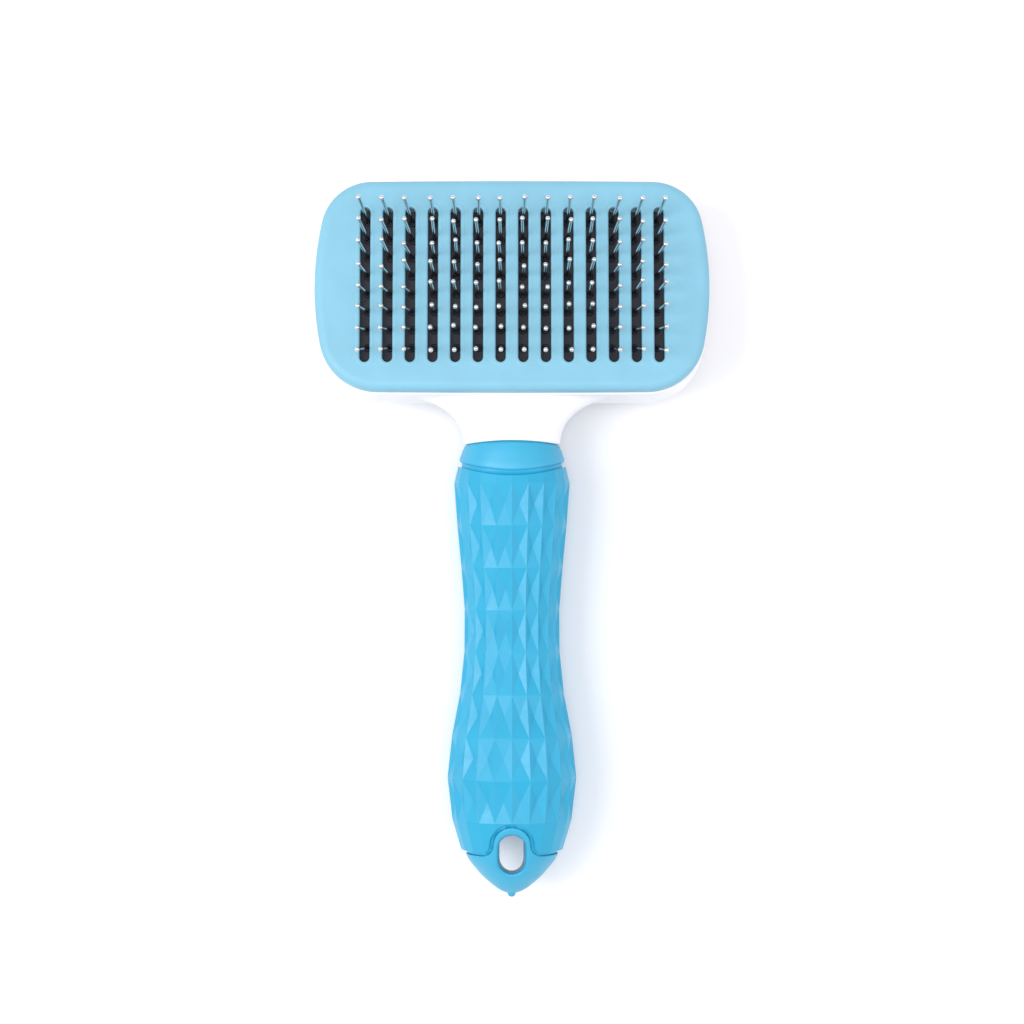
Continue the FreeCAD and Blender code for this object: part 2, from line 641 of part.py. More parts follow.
def make_pin(column, row):
    """One ball-tipped pin: a flat head, a straight foot in the base and a leaning shank."""
    columns = int(size("slot_count").number)
    rows = int(size("pin_rows").number)
    radius = size("pin_diameter").number / 2
    across = (column - (columns - 1) / 2) / ((columns - 1) / 2)
    along = (row - (rows - 1) / 2) / ((rows - 1) / 2)
    outer = 1 if abs(across) > FULL_LEAN_FROM else abs(across) * MIDDLE_LEAN
    foot_x = foot_pitch.number * (column - (columns - 1) / 2)
    foot_y = size("pin_row_shift").number + row_pitch.number * (row - (rows - 1) / 2)
    slot_x = slot_pitch.number * (column - (columns - 1) / 2)
    spread = SIDE_UNEVENNESS - OUTER_STEADINESS * outer
    tip_x = slot_x + math.copysign(size("pin_side_lean").number * outer, across)
    tip_x += spread * unevenness(column, row, 1)
    tip_y = foot_y + size("pin_end_lean").number * math.copysign(abs(along) ** END_LEAN_POWER, along)
    tip_y += (END_UNEVENNESS + MIDDLE_UNEVENNESS * (1 - abs(along))) * unevenness(column, row, 2)
    low = base_under.number
    bend = Vector(foot_x, foot_y, base_top.number)
    tip = Vector(tip_x, tip_y, size("pin_reach").number)
    head = Part.makeCylinder(size("pin_head_diameter").number / 2, size("pin_head_thickness").number,
                             Vector(foot_x, foot_y, low))
    foot = Part.makeCylinder(radius, bend.z - low, Vector(foot_x, foot_y, low))
    knee = Part.makeSphere(radius, bend)
    shank = Part.makeCylinder(radius, (tip - bend).Length, bend, tip - bend)
    ball = Part.makeSphere(size("pin_ball_diameter").number / 2, tip)
    return head.multiFuse([foot, knee, shank, ball]).removeSplitter()


def make_pin_columns():
    for column in range(int(size("slot_count").number)):
        pins = doc.addObject("Part::Feature", f"PinColumn{column + 1:02d}")
        pins.Shape = Part.makeCompound([make_pin(column, row) for row in range(int(size("pin_rows").number))])
        finish(pins, f"pin_column_{column + 1:02d}", head_place)


def make_yoke():
    body = doc.addObject("PartDesign::Body", "PusherYoke")
    bar = sketch_at(body, "YokeBar", yoke_under)
    draw_box(bar, ZERO, ZERO, post_side, size("yoke_half_bar"))
    pad(body, "YokeBarPad", bar, size("yoke_thickness"))
    for name, side in (("Left", -post_side), ("Right", post_side)):
        arm = sketch_at(body, f"Yoke{name}Arm", yoke_under)
        draw_box(arm, side, ZERO, size("yoke_arm_half"), yoke_arm_reach, size("yoke_arm_corner"))
        pad(body, f"Yoke{name}ArmPad", arm, size("yoke_thickness"))
    depth = size("yoke_thickness") + THROUGH
    spring_hole = size("spring_radius") + size("spring_room")
    springs = circles(body, "SpringRings", yoke_under, spring_points, spring_hole)
    pocket(body, "SpringHoles", springs, depth, upwards=True)
    passes = circles(body, "YokeRings", yoke_under, post_points + button_screw_points, hole_radius)
    pocket(body, "YokeHoles", passes, depth, upwards=True)
    low = circles(body, "YokeLowSinks", yoke_under, post_points, sunk_radius)
    pocket(body, "YokeLowSinkCuts", low, size("screw_head_height"), upwards=True)
    high = circles(body, "YokeHighSinks", yoke_top, button_screw_points, sunk_radius)
    pocket(body, "YokeHighSinkCuts", high, size("screw_head_height"))
    finish(body, "pusher_yoke", head_place)


def make_button():
    body = doc.addObject("PartDesign::Body", "PushButton")
    half_x = size("button_width") / 2
    half_y = size("button_length") / 2
    outline = sketch_at(body, "ButtonOutline", button_face)
    draw_box(outline, ZERO, ZERO, half_x, half_y, size("button_corner"))
    pad(body, "ButtonBlock", outline, yoke_under - button_face)
    round_edges(body, "ButtonEdge", size("button_edge"), button_face)
    inside = sketch_at(body, "ButtonInside", yoke_under)
    inner = size("button_corner") - size("button_wall")
    draw_box(inside, ZERO, ZERO, half_x - size("button_wall"), half_y - size("button_wall"), inner)
    pocket(body, "ButtonHollow", inside, yoke_under - button_floor)
    bosses = circles(body, "ButtonBossRings", button_floor, button_screw_points, size("button_boss_radius"))
    pad(body, "ButtonBosses", bosses, yoke_under - button_floor)
    pilots = circles(body, "ButtonPilots", yoke_under, button_screw_points, size("screw_radius"))
    pocket(body, "ButtonPilotHoles", pilots, size("screw_bite"))
    pegs = circles(body, "ButtonPegRings", button_floor, spring_points, size("spring_peg_radius"))
    pad(body, "ButtonPegs", pegs, size("spring_peg_height"))
    finish(body, "push_button", head_place)


def make_springs():
    """Two compression springs from the button's floor to the deck. Their wire has many flat sides."""
    wire_radius = size("spring_wire").number / 2
    radius = size("spring_radius").number
    end_gap = wire_radius + size("spring_seat_gap").number
    low = button_floor.number + end_gap
    high = deck_under.number - end_gap
    pitch = (high - low) / size("spring_turns").number
    for name, (x, _) in zip(("left", "right"), spring_points):
        helix = Part.makeHelix(pitch, high - low, radius)
        helix.translate(Vector(x.number, 0, low))
        section = []
        for side in range(WIRE_SIDES + 1):
            angle = 2 * math.pi * (side + 0.5) / WIRE_SIDES
            out = radius + wire_radius * math.cos(angle)
            section.append(Vector(x.number + out, 0, low + wire_radius * math.sin(angle)))
        coil = Part.Wire(helix.Edges).makePipeShell([Part.makePolygon(section)], True, True)
        spring = doc.addObject("Part::Feature", f"ReturnSpring{name.title()}")
        spring.Shape = coil
        finish(spring, f"return_spring_{name}", head_place)


def make_screws(label, points, under_head, length, upwards):
    """One group of cross-recessed screws. Each stands on the underside of its head."""
    way = 1 if upwards else -1
    pieces = []
    for index, (x, y) in enumerate(points, start=1):
        name = f"{label.title().replace('_', '')}{index}"
        head = doc.addObject("Part::Cylinder", f"{name}Head")
        shank = doc.addObject("Part::Cylinder", f"{name}Shank")
        tie(head, "Radius", size("screw_head_radius"))
        tie(head, "Height", size("screw_head_height"))
        tie(shank, "Radius", size("screw_radius"))
        tie(shank, "Height", length + size("screw_head_height") / 2)
        head_low = under_head - size("screw_head_height") if upwards else under_head
        sunk = size("screw_head_height") / 2
        shank_low = under_head - sunk if upwards else under_head - length
        for piece, low in ((head, head_low), (shank, shank_low)):
            piece.Placement = Placement(Vector(x.number, y.number, low.number), Rotation())
            tie(piece, "Placement.Base.x", x)
            tie(piece, "Placement.Base.y", y)
            tie(piece, "Placement.Base.z", low)
        joined = doc.addObject("Part::Fuse", f"{name}Joined")
        joined.Base = head
        joined.Tool = shank
        recess = []
        for turn in (0, 90):
            bar = doc.addObject("Part::Box", f"{name}Recess{turn}")
            tie(bar, "Length", size("recess_reach") * 2)
            tie(bar, "Width", size("recess_width"))
            tie(bar, "Height", size("recess_depth") * 2)
            top = under_head.number - way * size("screw_head_height").number
            about = Rotation(Vector(0, 0, 1), turn)
            corner = Vector(-size("recess_reach").number, -size("recess_width").number / 2, 0)
            middle = Vector(x.number, y.number, top - size("recess_depth").number)
            bar.Placement = Placement(middle + about.multVec(corner), about)
            recess.append(bar)
        cross = doc.addObject("Part::Fuse", f"{name}Cross")
        cross.Base = recess[0]
        cross.Tool = recess[1]
        screw = doc.addObject("Part::Cut", name)
        screw.Base = joined
        screw.Tool = cross
        pieces.append(screw)
    group = doc.addObject("Part::Compound", f"{label.title().replace('_', '')}Group")
    group.Links = pieces
    finish(group, label, head_place)


# The handle's pieces ------------------------------------------------------------------------------

def ellipse_wire(y, half_x, half_z, centre_z):
    """An upright ellipse across the handle."""
    side = Vector(half_x, y, centre_z)
    top = Vector(0, y, centre_z + half_z)
    longer, shorter = (side, top) if half_x >= half_z else (top, side)
    return Part.Wire(Part.Ellipse(longer, shorter, Vector(0, y, centre_z)).toShape())


def ridge_wire(y, half_x, inset):
    """The grip's section: a polygon whose corners are the ridges."""
    points = []
    for index in range(RIDGE_COUNT):
        angle = math.pi / 2 + index * 2 * math.pi / RIDGE_COUNT
        x = (half_x - inset) * math.cos(angle)
        z = (half_x * depth_ratio - inset) * math.sin(angle)
        points.append(Vector(x, y, axis_z + z))
    return Part.makePolygon(points + [points[0]])


def grip_loft(inset):
    ring_gap = (first_ring_y - last_ring_y) / (len(RING_HALF_WIDTHS) - 1)
    sections = [ridge_wire(collar_low_y + GRIP_OVERRUN, GRIP_START_HALF_WIDTH, inset)]
    for index, half_x in enumerate(RING_HALF_WIDTHS):
        sections.append(ridge_wire(first_ring_y - index * ring_gap, half_x, inset))
    sections.append(ridge_wire(cap_seam_y - GRIP_OVERRUN, GRIP_END_HALF_WIDTH, inset))
    return Part.makeLoft(sections, True, True)


def cap_loft():
    """The end cap's smooth outer form. Heights are counted from the tip."""
    nub = size("nub_height").number
    wires = []
    for height, half_x in CAP_HALF_WIDTHS + [(nub, CAP_TIP_HALF_WIDTH)]:
        wires.append(ellipse_wire(tip_y + height, half_x, half_x * depth_ratio, axis_z))
    return Part.makeLoft(wires, True, True)


def collar_loft():
    sections = [
        (collar_top_y + COLLAR_OVERRUN, top_chord - COLLAR_OVERRUN_TAPER),
        (collar_top_y, top_chord),
        (collar_low_y, low_chord),
        (collar_low_y - COLLAR_OVERRUN, low_chord + COLLAR_OVERRUN_TAPER),
    ]
    wires = [ellipse_wire(y, half_x, half_x * depth_ratio, axis_z) for y, half_x in sections]
    return Part.makeLoft(wires, True, True)


def slab(edges):
    """Extrude a closed line in the plan through the whole handle."""
    return Part.Face(Part.Wire(edges)).extrude(Vector(0, 0, 2 * FAR_AWAY)).translated(Vector(0, 0, -FAR_AWAY))


def beyond_arch(side_y, arch_y, half_chord, limit_y):
    """Everything between an arched line across the handle and a straight line at limit_y."""
    left = Vector(-half_chord, side_y, 0)
    right = Vector(half_chord, side_y, 0)
    corners = [Vector(-FAR_AWAY, side_y, 0), Vector(-FAR_AWAY, limit_y, 0), Vector(FAR_AWAY, limit_y, 0),
               Vector(FAR_AWAY, side_y, 0)]
    edges = [
        Part.Arc(left, Vector(0, arch_y, 0), right).toShape(),
        Part.makeLine(right, corners[3]),
        Part.makeLine(corners[3], corners[2]),
        Part.makeLine(corners[2], corners[1]),
        Part.makeLine(corners[1], corners[0]),
        Part.makeLine(corners[0], left),
    ]
    return slab(edges)


def below_cap_seam(grow):
    """Everything on the tip's side of the end cap's seam, with the seam moved out by grow."""
    seam = cap_seam_y + grow
    rise = size("tongue_rise").number
    centre_y = cap_seam_y + rise
    half = size("tongue_half_width").number + grow
    fillet = rise - grow
    outer = size("tongue_half_width").number + rise
    diagonal = math.sqrt(0.5)
    left_low = Vector(-outer, seam, 0)
    right_low = Vector(outer, seam, 0)
    left_side = Vector(-half, centre_y, 0)
    right_side = Vector(half, centre_y, 0)
    left_mid = Vector(-outer + fillet * diagonal, centre_y - fillet * diagonal, 0)
    right_mid = Vector(outer - fillet * diagonal, centre_y - fillet * diagonal, 0)
    beyond_tip = tip_y - PAST
    corners = [Vector(FAR_AWAY, seam, 0), Vector(FAR_AWAY, beyond_tip, 0), Vector(-FAR_AWAY, beyond_tip, 0),
               Vector(-FAR_AWAY, seam, 0)]
    edges = [
        Part.Arc(left_low, left_mid, left_side).toShape(),
        Part.Arc(left_side, Vector(0, centre_y + half, 0), right_side).toShape(),
        Part.Arc(right_side, right_mid, right_low).toShape(),
        Part.makeLine(right_low, corners[0]),
        Part.makeLine(corners[0], corners[1]),
        Part.makeLine(corners[1], corners[2]),
        Part.makeLine(corners[2], corners[3]),
        Part.makeLine(corners[3], left_low),
    ]
    return slab(edges)


def handle_box(half_x, half_z, low_y, high_y):
    return Part.makeBox(2 * half_x, high_y - low_y, 2 * half_z, Vector(-half_x, low_y, axis_z - half_z))


def shape_feature(name, shape):
    feature = doc.addObject("Part::Feature", name)
    feature.Shape = shape
    return feature


def make_neck():
    """The neck: it flares from the collar into the housing's near wall."""
    radius = size("neck_flare_radius").number
    neck = size("neck_half_width").number
    wall_middle = -half_length.number + size("shell_wall").number / 2
    middle_n = (rim_top.number + parting.number) / 2
    root = head_place.multVec(Vector(0, wall_middle, middle_n))
    root_half_z = (rim_top.number - parting.number) / 2 - size("neck_root_inset").number
    collar_half_z = top_chord * depth_ratio
    start_y = collar_low_y + size("neck_overlap").number
    span = root.y - collar_top_y
    wires = [squared_section(start_y, neck, collar_half_z, axis_z)]
    for step in NECK_STEPS:
        y = collar_top_y + span * step
        inside = max(0.0, y - (root.y - radius))
        half_x = neck + radius - math.sqrt(max(radius ** 2 - inside ** 2, NECK_LEAST_RISE))
        blend = step * step * (3 - 2 * step)
        half_z = collar_half_z + (root_half_z - collar_half_z) * blend
        wires.append(squared_section(y, half_x, half_z, axis_z + (root.z - axis_z) * blend))
    return Part.makeLoft(wires, True, True)


def squared_section(y, half_x, half_z, centre_z):
    """A squared ellipse across the neck, as a polygon with many sides."""
    points = []
    for index in range(NECK_SIDES):
        angle = 2 * math.pi * index / NECK_SIDES
        x = math.copysign(abs(math.cos(angle)) ** NECK_SQUARENESS, math.cos(angle)) * half_x
        z = math.copysign(abs(math.sin(angle)) ** NECK_SQUARENESS, math.sin(angle)) * half_z
        points.append(Vector(x, y, centre_z + z))
    return Part.makePolygon(points + [points[0]])


def make_head_housing():
    """The tub, its neck and the tang, moulded in one piece."""
    gap = size("joint_gap").number
    above_collar = beyond_arch(collar_top_y + gap, top_arch_y + gap, top_chord, far_y)
    neck = shape_feature("Neck", make_neck().common(above_collar))
    tang_top = collar_top_y + size("tang_root").number
    tang = shape_feature("Tang", handle_box(size("tang_half_width").number, size("tang_half_depth").number,
                                            tang_end_y, tang_top))
    stud = doc.addObject("Part::Cylinder", "TangStud")
    tie(stud, "Radius", size("stud_radius"))
    tie(stud, "Height", size("stud_length"))
    stud.Placement = Placement(Vector(0, tang_end_y, axis_z), Rotation(Vector(1, 0, 0), 90))
    housing = doc.addObject("Part::MultiFuse", "HeadHousing")
    housing.Shapes = [make_tub(), neck, tang, stud]
    finish(housing, "head_housing")


def make_collar():
    shape = collar_loft()
    shape = shape.common(beyond_arch(collar_top_y, top_arch_y, top_chord, collar_low_y - PAST))
    shape = shape.common(beyond_arch(collar_low_y, low_arch_y, low_chord, collar_top_y + PAST))
    bore = handle_box(bore_half_width, bore_half_depth, collar_low_y - PAST, collar_top_y + PAST)
    finish(shape_feature("Collar", shape.cut(bore)), "collar")


def make_grip():
    groove = size("groove_width").number
    inner = grip_loft(size("groove_depth").number)
    shape = grip_loft(0)
    shape = shape.common(beyond_arch(collar_low_y, low_arch_y, low_chord, tip_y - PAST))
    shape = shape.cut(below_cap_seam(0))
    collar_band = beyond_arch(collar_low_y - groove, low_arch_y - groove, low_chord, collar_low_y + PAST)
    cap_band = below_cap_seam(groove)
    shape = shape.cut(collar_band.cut(inner))
    shape = shape.cut(cap_band.cut(inner))
    bore = handle_box(bore_half_width, bore_half_depth, tip_y - PAST, collar_top_y + PAST)
    finish(shape_feature("GripSleeve", shape.cut(bore)), "grip_sleeve")


def make_end_cap():
    shape = cap_loft().common(below_cap_seam(0))
    spigot = handle_box(size("tang_half_width").number, size("tang_half_depth").number,
                        cap_seam_y - size("spigot_drop").number, tang_end_y - size("tang_fit").number)
    socket_radius = size("stud_radius").number + size("stud_fit").number
    socket_length = size("stud_length").number + THROUGH
    socket = Part.makeCylinder(socket_radius, socket_length, Vector(0, tang_end_y, axis_z), Vector(0, -1, 0))
    nub_length = size("nub_height").number + THROUGH
    nub = Part.makeCylinder(size("nub_radius").number, nub_length, Vector(0, tip_y, axis_z), Vector(0, 1, 0))
    radius = size("hang_half_width").number
    straight = size("hang_half_length").number - radius
    top = Vector(0, hang_y + straight, 0)
    low = Vector(0, hang_y - straight, 0)
    side = Vector(radius, 0, 0)
    end = Vector(0, radius, 0)
    edges = [
        Part.Arc(top + side, top + end, top - side).toShape(),
        Part.makeLine(top - side, low - side),
        Part.Arc(low - side, low - end, low + side).toShape(),
        Part.makeLine(low + side, top + side),
    ]
    shape = shape.fuse([spigot, nub]).cut(socket).cut(slab(edges))
    finish(shape_feature("EndCap", shape), "end_cap")


make_head_housing()
make_rear_cover()
make_pin_base()
make_backing_plate()
make_pin_columns()
make_screws("pin_pack_screws", pack_screw_points, deck_under, pack_screw_length, upwards=True)
make_screws("cover_screws", cover_screw_points, cover_outer + size("screw_head_height"), cover_screw_length,
            upwards=True)
make_collar()
make_grip()
make_end_cap()
make_face_plate()
make_yoke()
make_button()
make_screws("plate_screws", post_points, yoke_under + size("screw_head_height"), yoke_screw_length,
            upwards=True)
make_screws("button_screws", button_screw_points, yoke_top - size("screw_head_height"), yoke_screw_length,
            upwards=False)
make_springs()
doc.recompute()

for item in doc.Objects:
    if "Invalid" in item.State or "Error" in item.State:
        raise RuntimeError(f"{item.Name} did not rebuild: {item.State}")
for item in finished:
    if item.Shape.isNull() or not item.Shape.isValid():
        raise RuntimeError(f"{item.Label} has no valid shape")

os.makedirs("parts", exist_ok=True)
for item in finished:
    item.Shape.exportStep(f"parts/{item.Label}.step")
    print(f"{item.Label}: {len(item.Shape.Solids)} solid(s), {item.Shape.Volume:.0f} mm3")
rest = head_place.multVec(Vector(0, 0, button_face.number))
print(f"button face centre {rest.y:.3f} {rest.z:.3f}, hanging slot centre {hang_y:.3f} {axis_z:.3f}")
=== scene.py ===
import json
import math

import bmesh
import bpy
from mathutils import Matrix, Vector, geometry


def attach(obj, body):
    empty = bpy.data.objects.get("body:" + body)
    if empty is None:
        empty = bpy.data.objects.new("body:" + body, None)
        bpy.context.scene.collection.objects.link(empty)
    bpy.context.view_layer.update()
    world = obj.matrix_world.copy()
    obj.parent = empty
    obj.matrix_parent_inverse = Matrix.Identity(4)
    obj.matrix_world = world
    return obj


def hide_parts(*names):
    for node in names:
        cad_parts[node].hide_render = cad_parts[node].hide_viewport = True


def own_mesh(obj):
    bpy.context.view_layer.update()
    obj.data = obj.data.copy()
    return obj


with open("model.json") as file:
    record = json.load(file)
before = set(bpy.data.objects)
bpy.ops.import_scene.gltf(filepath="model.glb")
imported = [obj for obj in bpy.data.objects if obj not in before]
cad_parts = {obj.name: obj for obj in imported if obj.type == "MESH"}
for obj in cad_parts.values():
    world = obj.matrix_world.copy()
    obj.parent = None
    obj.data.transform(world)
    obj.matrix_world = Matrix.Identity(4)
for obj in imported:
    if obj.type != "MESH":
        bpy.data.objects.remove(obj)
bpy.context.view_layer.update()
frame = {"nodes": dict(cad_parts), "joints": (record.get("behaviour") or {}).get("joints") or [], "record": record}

# The slicker brush's looks. Lengths are in millimetres until a mesh is finished, and then in metres.
# Head pieces are drawn in the head's own frame: X across, Y towards the far end, Z out along the pins,
# with the origin in the middle of the face plate's top. Handle pieces are drawn in the row frame.

MM = 0.001

# Head, as in the CAD part.
OVERALL_WIDTH = 106.5
PLATE_LENGTH = 57.6
RIM_MARGIN = 0.3
SIDE_RADIUS = 84.0
END_RADIUS = 4000.0
FAR_CORNER = 14.0
NEAR_CORNER = 16.0
HALF_WIDTH = OVERALL_WIDTH / 2
HALF_LENGTH = PLATE_LENGTH / 2 + RIM_MARGIN
PLATE_UNDER = -2.2
SKIRT_UNDER = -4.5
RIM_TOP = -4.8
BASE_TOP = -3.0
BASE_UNDER = -6.0
DECK_TOP = -7.2
DECK_UNDER = -8.7
YOKE_TOP = -16.0
YOKE_UNDER = -18.4
PARTING = -16.5
COVER_INNER = -18.5
COVER_OUTER = -20.5
BUTTON_FACE = -29.0
NECK_ROOT = 31.0
BUTTON_FLOOR = -27.2
WALL = 2.0
SLOT_COUNT = 14
SLOT_WIDTH = 2.7
SLOT_PITCH = (OVERALL_WIDTH - 2 * RIM_MARGIN - 27.2) / (SLOT_COUNT - 1)
SLOT_LENGTH = PLATE_LENGTH - 15.2
PIN_ROWS = 8
ROW_PITCH = (SLOT_LENGTH - 8.0) / (PIN_ROWS - 1)
ROW_SHIFT = 0.35
FOOT_PITCH = SLOT_PITCH * 0.98
PIN_RADIUS = 0.4
BALL_RADIUS = 0.675
PIN_REACH = 10.8
FULL_LEAN_FROM = 0.6
MIDDLE_LEAN = 0.4
SIDE_LEAN = 1.3
END_LEAN = 3.3
END_LEAN_POWER = 1.2
SIDE_UNEVENNESS = 0.5
OUTER_STEADINESS = 0.4
END_UNEVENNESS = 0.2
MIDDLE_UNEVENNESS = 0.9
POST_X = HALF_WIDTH - 6.75
POST_Y = HALF_LENGTH - 15.9
POST_RADIUS = 2.2
BASE_HALF_X = FOOT_PITCH * (SLOT_COUNT - 1) / 2 + 3.2
BASE_HALF_Y = SLOT_LENGTH / 2 - 0.6
BUTTON_HALF_X = 16.0
BUTTON_HALF_Y = 11.0
BUTTON_CORNER = 5.0
BUTTON_WALL = 1.8
BUTTON_GAP = 0.3
COVER_SCREW_X = 30.0
COVER_SCREW_Y = HALF_LENGTH - 8.5
BOSS_RADIUS = 3.0
SUNK_RADIUS = 2.15
SUNK_DEPTH = 1.2
HOLE_RADIUS = 1.1
SPRING_X = 10.5
SPRING_COIL = 2.9
SPRING_WIRE = 0.35
SPRING_TURNS = 7

# Handle, as in the CAD part but for the collar's upper edge and the hanging slot's slant and draft.
TIP_Y = -97.0
DEPTH_RATIO = 0.92
RING_HALF_WIDTHS = [15.66, 14.84, 13.75, 12.85, 12.91, 14.08, 16.25, 17.48, 16.17]
GRIP_START_HALF_WIDTH = 13.6
GRIP_END_HALF_WIDTH = 12.5
RIDGE_COUNT = 22
AXIS_Z = DEPTH_RATIO * max(RING_HALF_WIDTHS)
TANG_HALF_WIDTH = 8.5
TANG_HALF_DEPTH = 7.0
TANG_END_Y = TIP_Y + 35.0
COLLAR_HALF_WIDTH = 13.1
COLLAR_FLARE = 1.2
GROOVE_WIDTH = 1.1
CAP_SEAM_Y = TIP_Y + 12.1
TONGUE_HALF_WIDTH = 5.0
TONGUE_RISE = 3.2
HANG_Y = TIP_Y + 12.7
HANG_HALF_WIDTH = 3.6
HANG_HALF_LENGTH = 5.4
HANG_SLANT = 1.0
HANG_DRAFT_LEFT = 0.15
HANG_DRAFT_RIGHT = 0.45

slide = frame["joints"][0]
normal = Vector(slide["axis"]).normalized()
button_mount = [m for m in frame["record"]["mounts"] if m["name"] == "button_rest"][0]
head_origin = Vector(button_mount["pos_m"]) / MM - normal * BUTTON_FACE
along = normal.cross(Vector((1, 0, 0)))
HEAD = Matrix(((1, along.x, normal.x, head_origin.x), (0, along.y, normal.y, head_origin.y),
               (0, along.z, normal.z, head_origin.z), (0, 0, 0, 1)))
ROW = Matrix.Identity(4)
NEAR_Y = (HEAD @ Vector((0, -HALF_LENGTH, COVER_INNER))).y
COLLAR_TOP_Y = NEAR_Y - 11.35
COLLAR_LOW_Y = COLLAR_TOP_Y - 4.65
COLLAR_TOP_ARCH = 0.95
COLLAR_LOW_ARCH = 2.4
NECK_GAP = 0.35
FIRST_RING_Y = COLLAR_LOW_Y - 5.5
LAST_RING_Y = TIP_Y + 21.4


# Materials ----------------------------------------------------------------------------------------

def new_material(name):
    material = bpy.data.materials.new(name)
    material.use_nodes = True
    nodes = material.node_tree.nodes
    nodes.clear()
    output = nodes.new("ShaderNodeOutputMaterial")
    shader = nodes.new("ShaderNodeBsdfPrincipled")
    material.node_tree.links.new(shader.outputs["BSDF"], output.inputs["Surface"])
    return material, nodes, material.node_tree.links, shader


def noise(nodes, links, place, scale, detail=3.0, roughness=0.55):
    texture = nodes.new("ShaderNodeTexNoise")
    texture.inputs["Scale"].default_value = scale
    texture.inputs["Detail"].default_value = detail
    texture.inputs["Roughness"].default_value = roughness
    links.new(place, texture.inputs["Vector"])
    return texture.outputs["Fac"]


def spread(nodes, links, value, low, high, from_low=0.3, from_high=0.7):
    scale = nodes.new("ShaderNodeMapRange")
    scale.inputs["From Min"].default_value = from_low
    scale.inputs["From Max"].default_value = from_high
    scale.inputs["To Min"].default_value = low
    scale.inputs["To Max"].default_value = high
    links.new(value, scale.inputs["Value"])
    return scale.outputs["Result"]


def tint(nodes, links, value, dark, light):
    ramp = nodes.new("ShaderNodeValToRGB")
    ramp.color_ramp.elements[0].position = 0.3
    ramp.color_ramp.elements[0].color = (*dark, 1)
    ramp.color_ramp.elements[1].position = 0.7
    ramp.color_ramp.elements[1].color = (*light, 1)
    links.new(value, ramp.inputs["Fac"])
    return ramp.outputs["Color"]


def moulded(name, colour, roughness, grain, grain_depth, mottle=0.04, specular=0.5, subsurface=0.0):
    """Moulded plastic or rubber: fine surface grain, faint mottling and a slightly uneven gloss."""
    material, nodes, links, shader = new_material(name)
    place = nodes.new("ShaderNodeTexCoord").outputs["Object"]
    cloud = noise(nodes, links, place, 90.0, 4.0)
    dark = tuple(c * (1 - mottle) for c in colour)
    light = tuple(min(1.0, c * (1 + mottle)) for c in colour)
    links.new(tint(nodes, links, cloud, dark, light), shader.inputs["Base Color"])
    patch = noise(nodes, links, place, 350.0, 3.0)
    links.new(spread(nodes, links, patch, roughness - 0.06, roughness + 0.06), shader.inputs["Roughness"])
    fine = noise(nodes, links, place, grain, 2.0, 0.6)
    bump = nodes.new("ShaderNodeBump")
    bump.inputs["Strength"].default_value = grain_depth
    bump.inputs["Distance"].default_value = 0.00008
    links.new(fine, bump.inputs["Height"])
    links.new(bump.outputs["Normal"], shader.inputs["Normal"])
    shader.inputs["Specular IOR Level"].default_value = specular
    if subsurface:
        shader.inputs["Subsurface Weight"].default_value = subsurface
        shader.inputs["Subsurface Radius"].default_value = (0.0012, 0.0016, 0.002)
        shader.inputs["Subsurface Scale"].default_value = 1.0
    return material


def metal(name, colour, roughness, streak, streak_depth):
    """Drawn or plated steel: bright, with fine streaks and a little tarnish."""
    material, nodes, links, shader = new_material(name)
    place = nodes.new("ShaderNodeTexCoord").outputs["Object"]
    cloud = noise(nodes, links, place, 500.0, 3.0)
    dark = tuple(c * 0.86 for c in colour)
    links.new(tint(nodes, links, cloud, dark, colour), shader.inputs["Base Color"])
    fine = noise(nodes, links, place, streak, 2.0)
    links.new(spread(nodes, links, fine, roughness * 0.7, roughness * 1.4), shader.inputs["Roughness"])
    bump = nodes.new("ShaderNodeBump")
    bump.inputs["Strength"].default_value = streak_depth
    bump.inputs["Distance"].default_value = 0.00002
    links.new(fine, bump.inputs["Height"])
    links.new(bump.outputs["Normal"], shader.inputs["Normal"])
    shader.inputs["Metallic"].default_value = 1.0
    return material


PLATE_BLUE = moulded("plate_blue", (0.198, 0.460, 0.60), 0.5, 4200, 0.35, 0.04, specular=0.5)
HANDLE_BLUE = moulded("handle_blue", (0.032, 0.368, 0.582), 0.40, 3500, 0.2, 0.03, specular=0.55)
GRIP_BLUE = moulded("grip_rubber", (0.014, 0.345, 0.56), 0.38, 4500, 0.25, 0.03, specular=0.5)
BUTTON_BLUE = moulded("button_blue", (0.05, 0.34, 0.56), 0.42, 3500, 0.25, 0.03)
WHITE = moulded("white_shell", (0.86, 0.86, 0.88), 0.35, 2500, 0.1, 0.015, subsurface=0.05)
GREY = moulded("grey_plastic", (0.55, 0.57, 0.6), 0.5, 2500, 0.2, 0.03)
BLACK = moulded("black_base", (0.013, 0.013, 0.022), 0.45, 2200, 0.5, 0.2, specular=0.4)
CHROME = metal("pin_steel", (0.76, 0.745, 0.735), 0.12, 3000, 0.05)
SPRING_STEEL = metal("spring_steel", (0.6, 0.6, 0.61), 0.25, 4000, 0.2)
SCREW_STEEL = metal("screw_steel", (0.62, 0.62, 0.64), 0.3, 5000, 0.3)


# Mesh building ------------------------------------------------------------------------------------

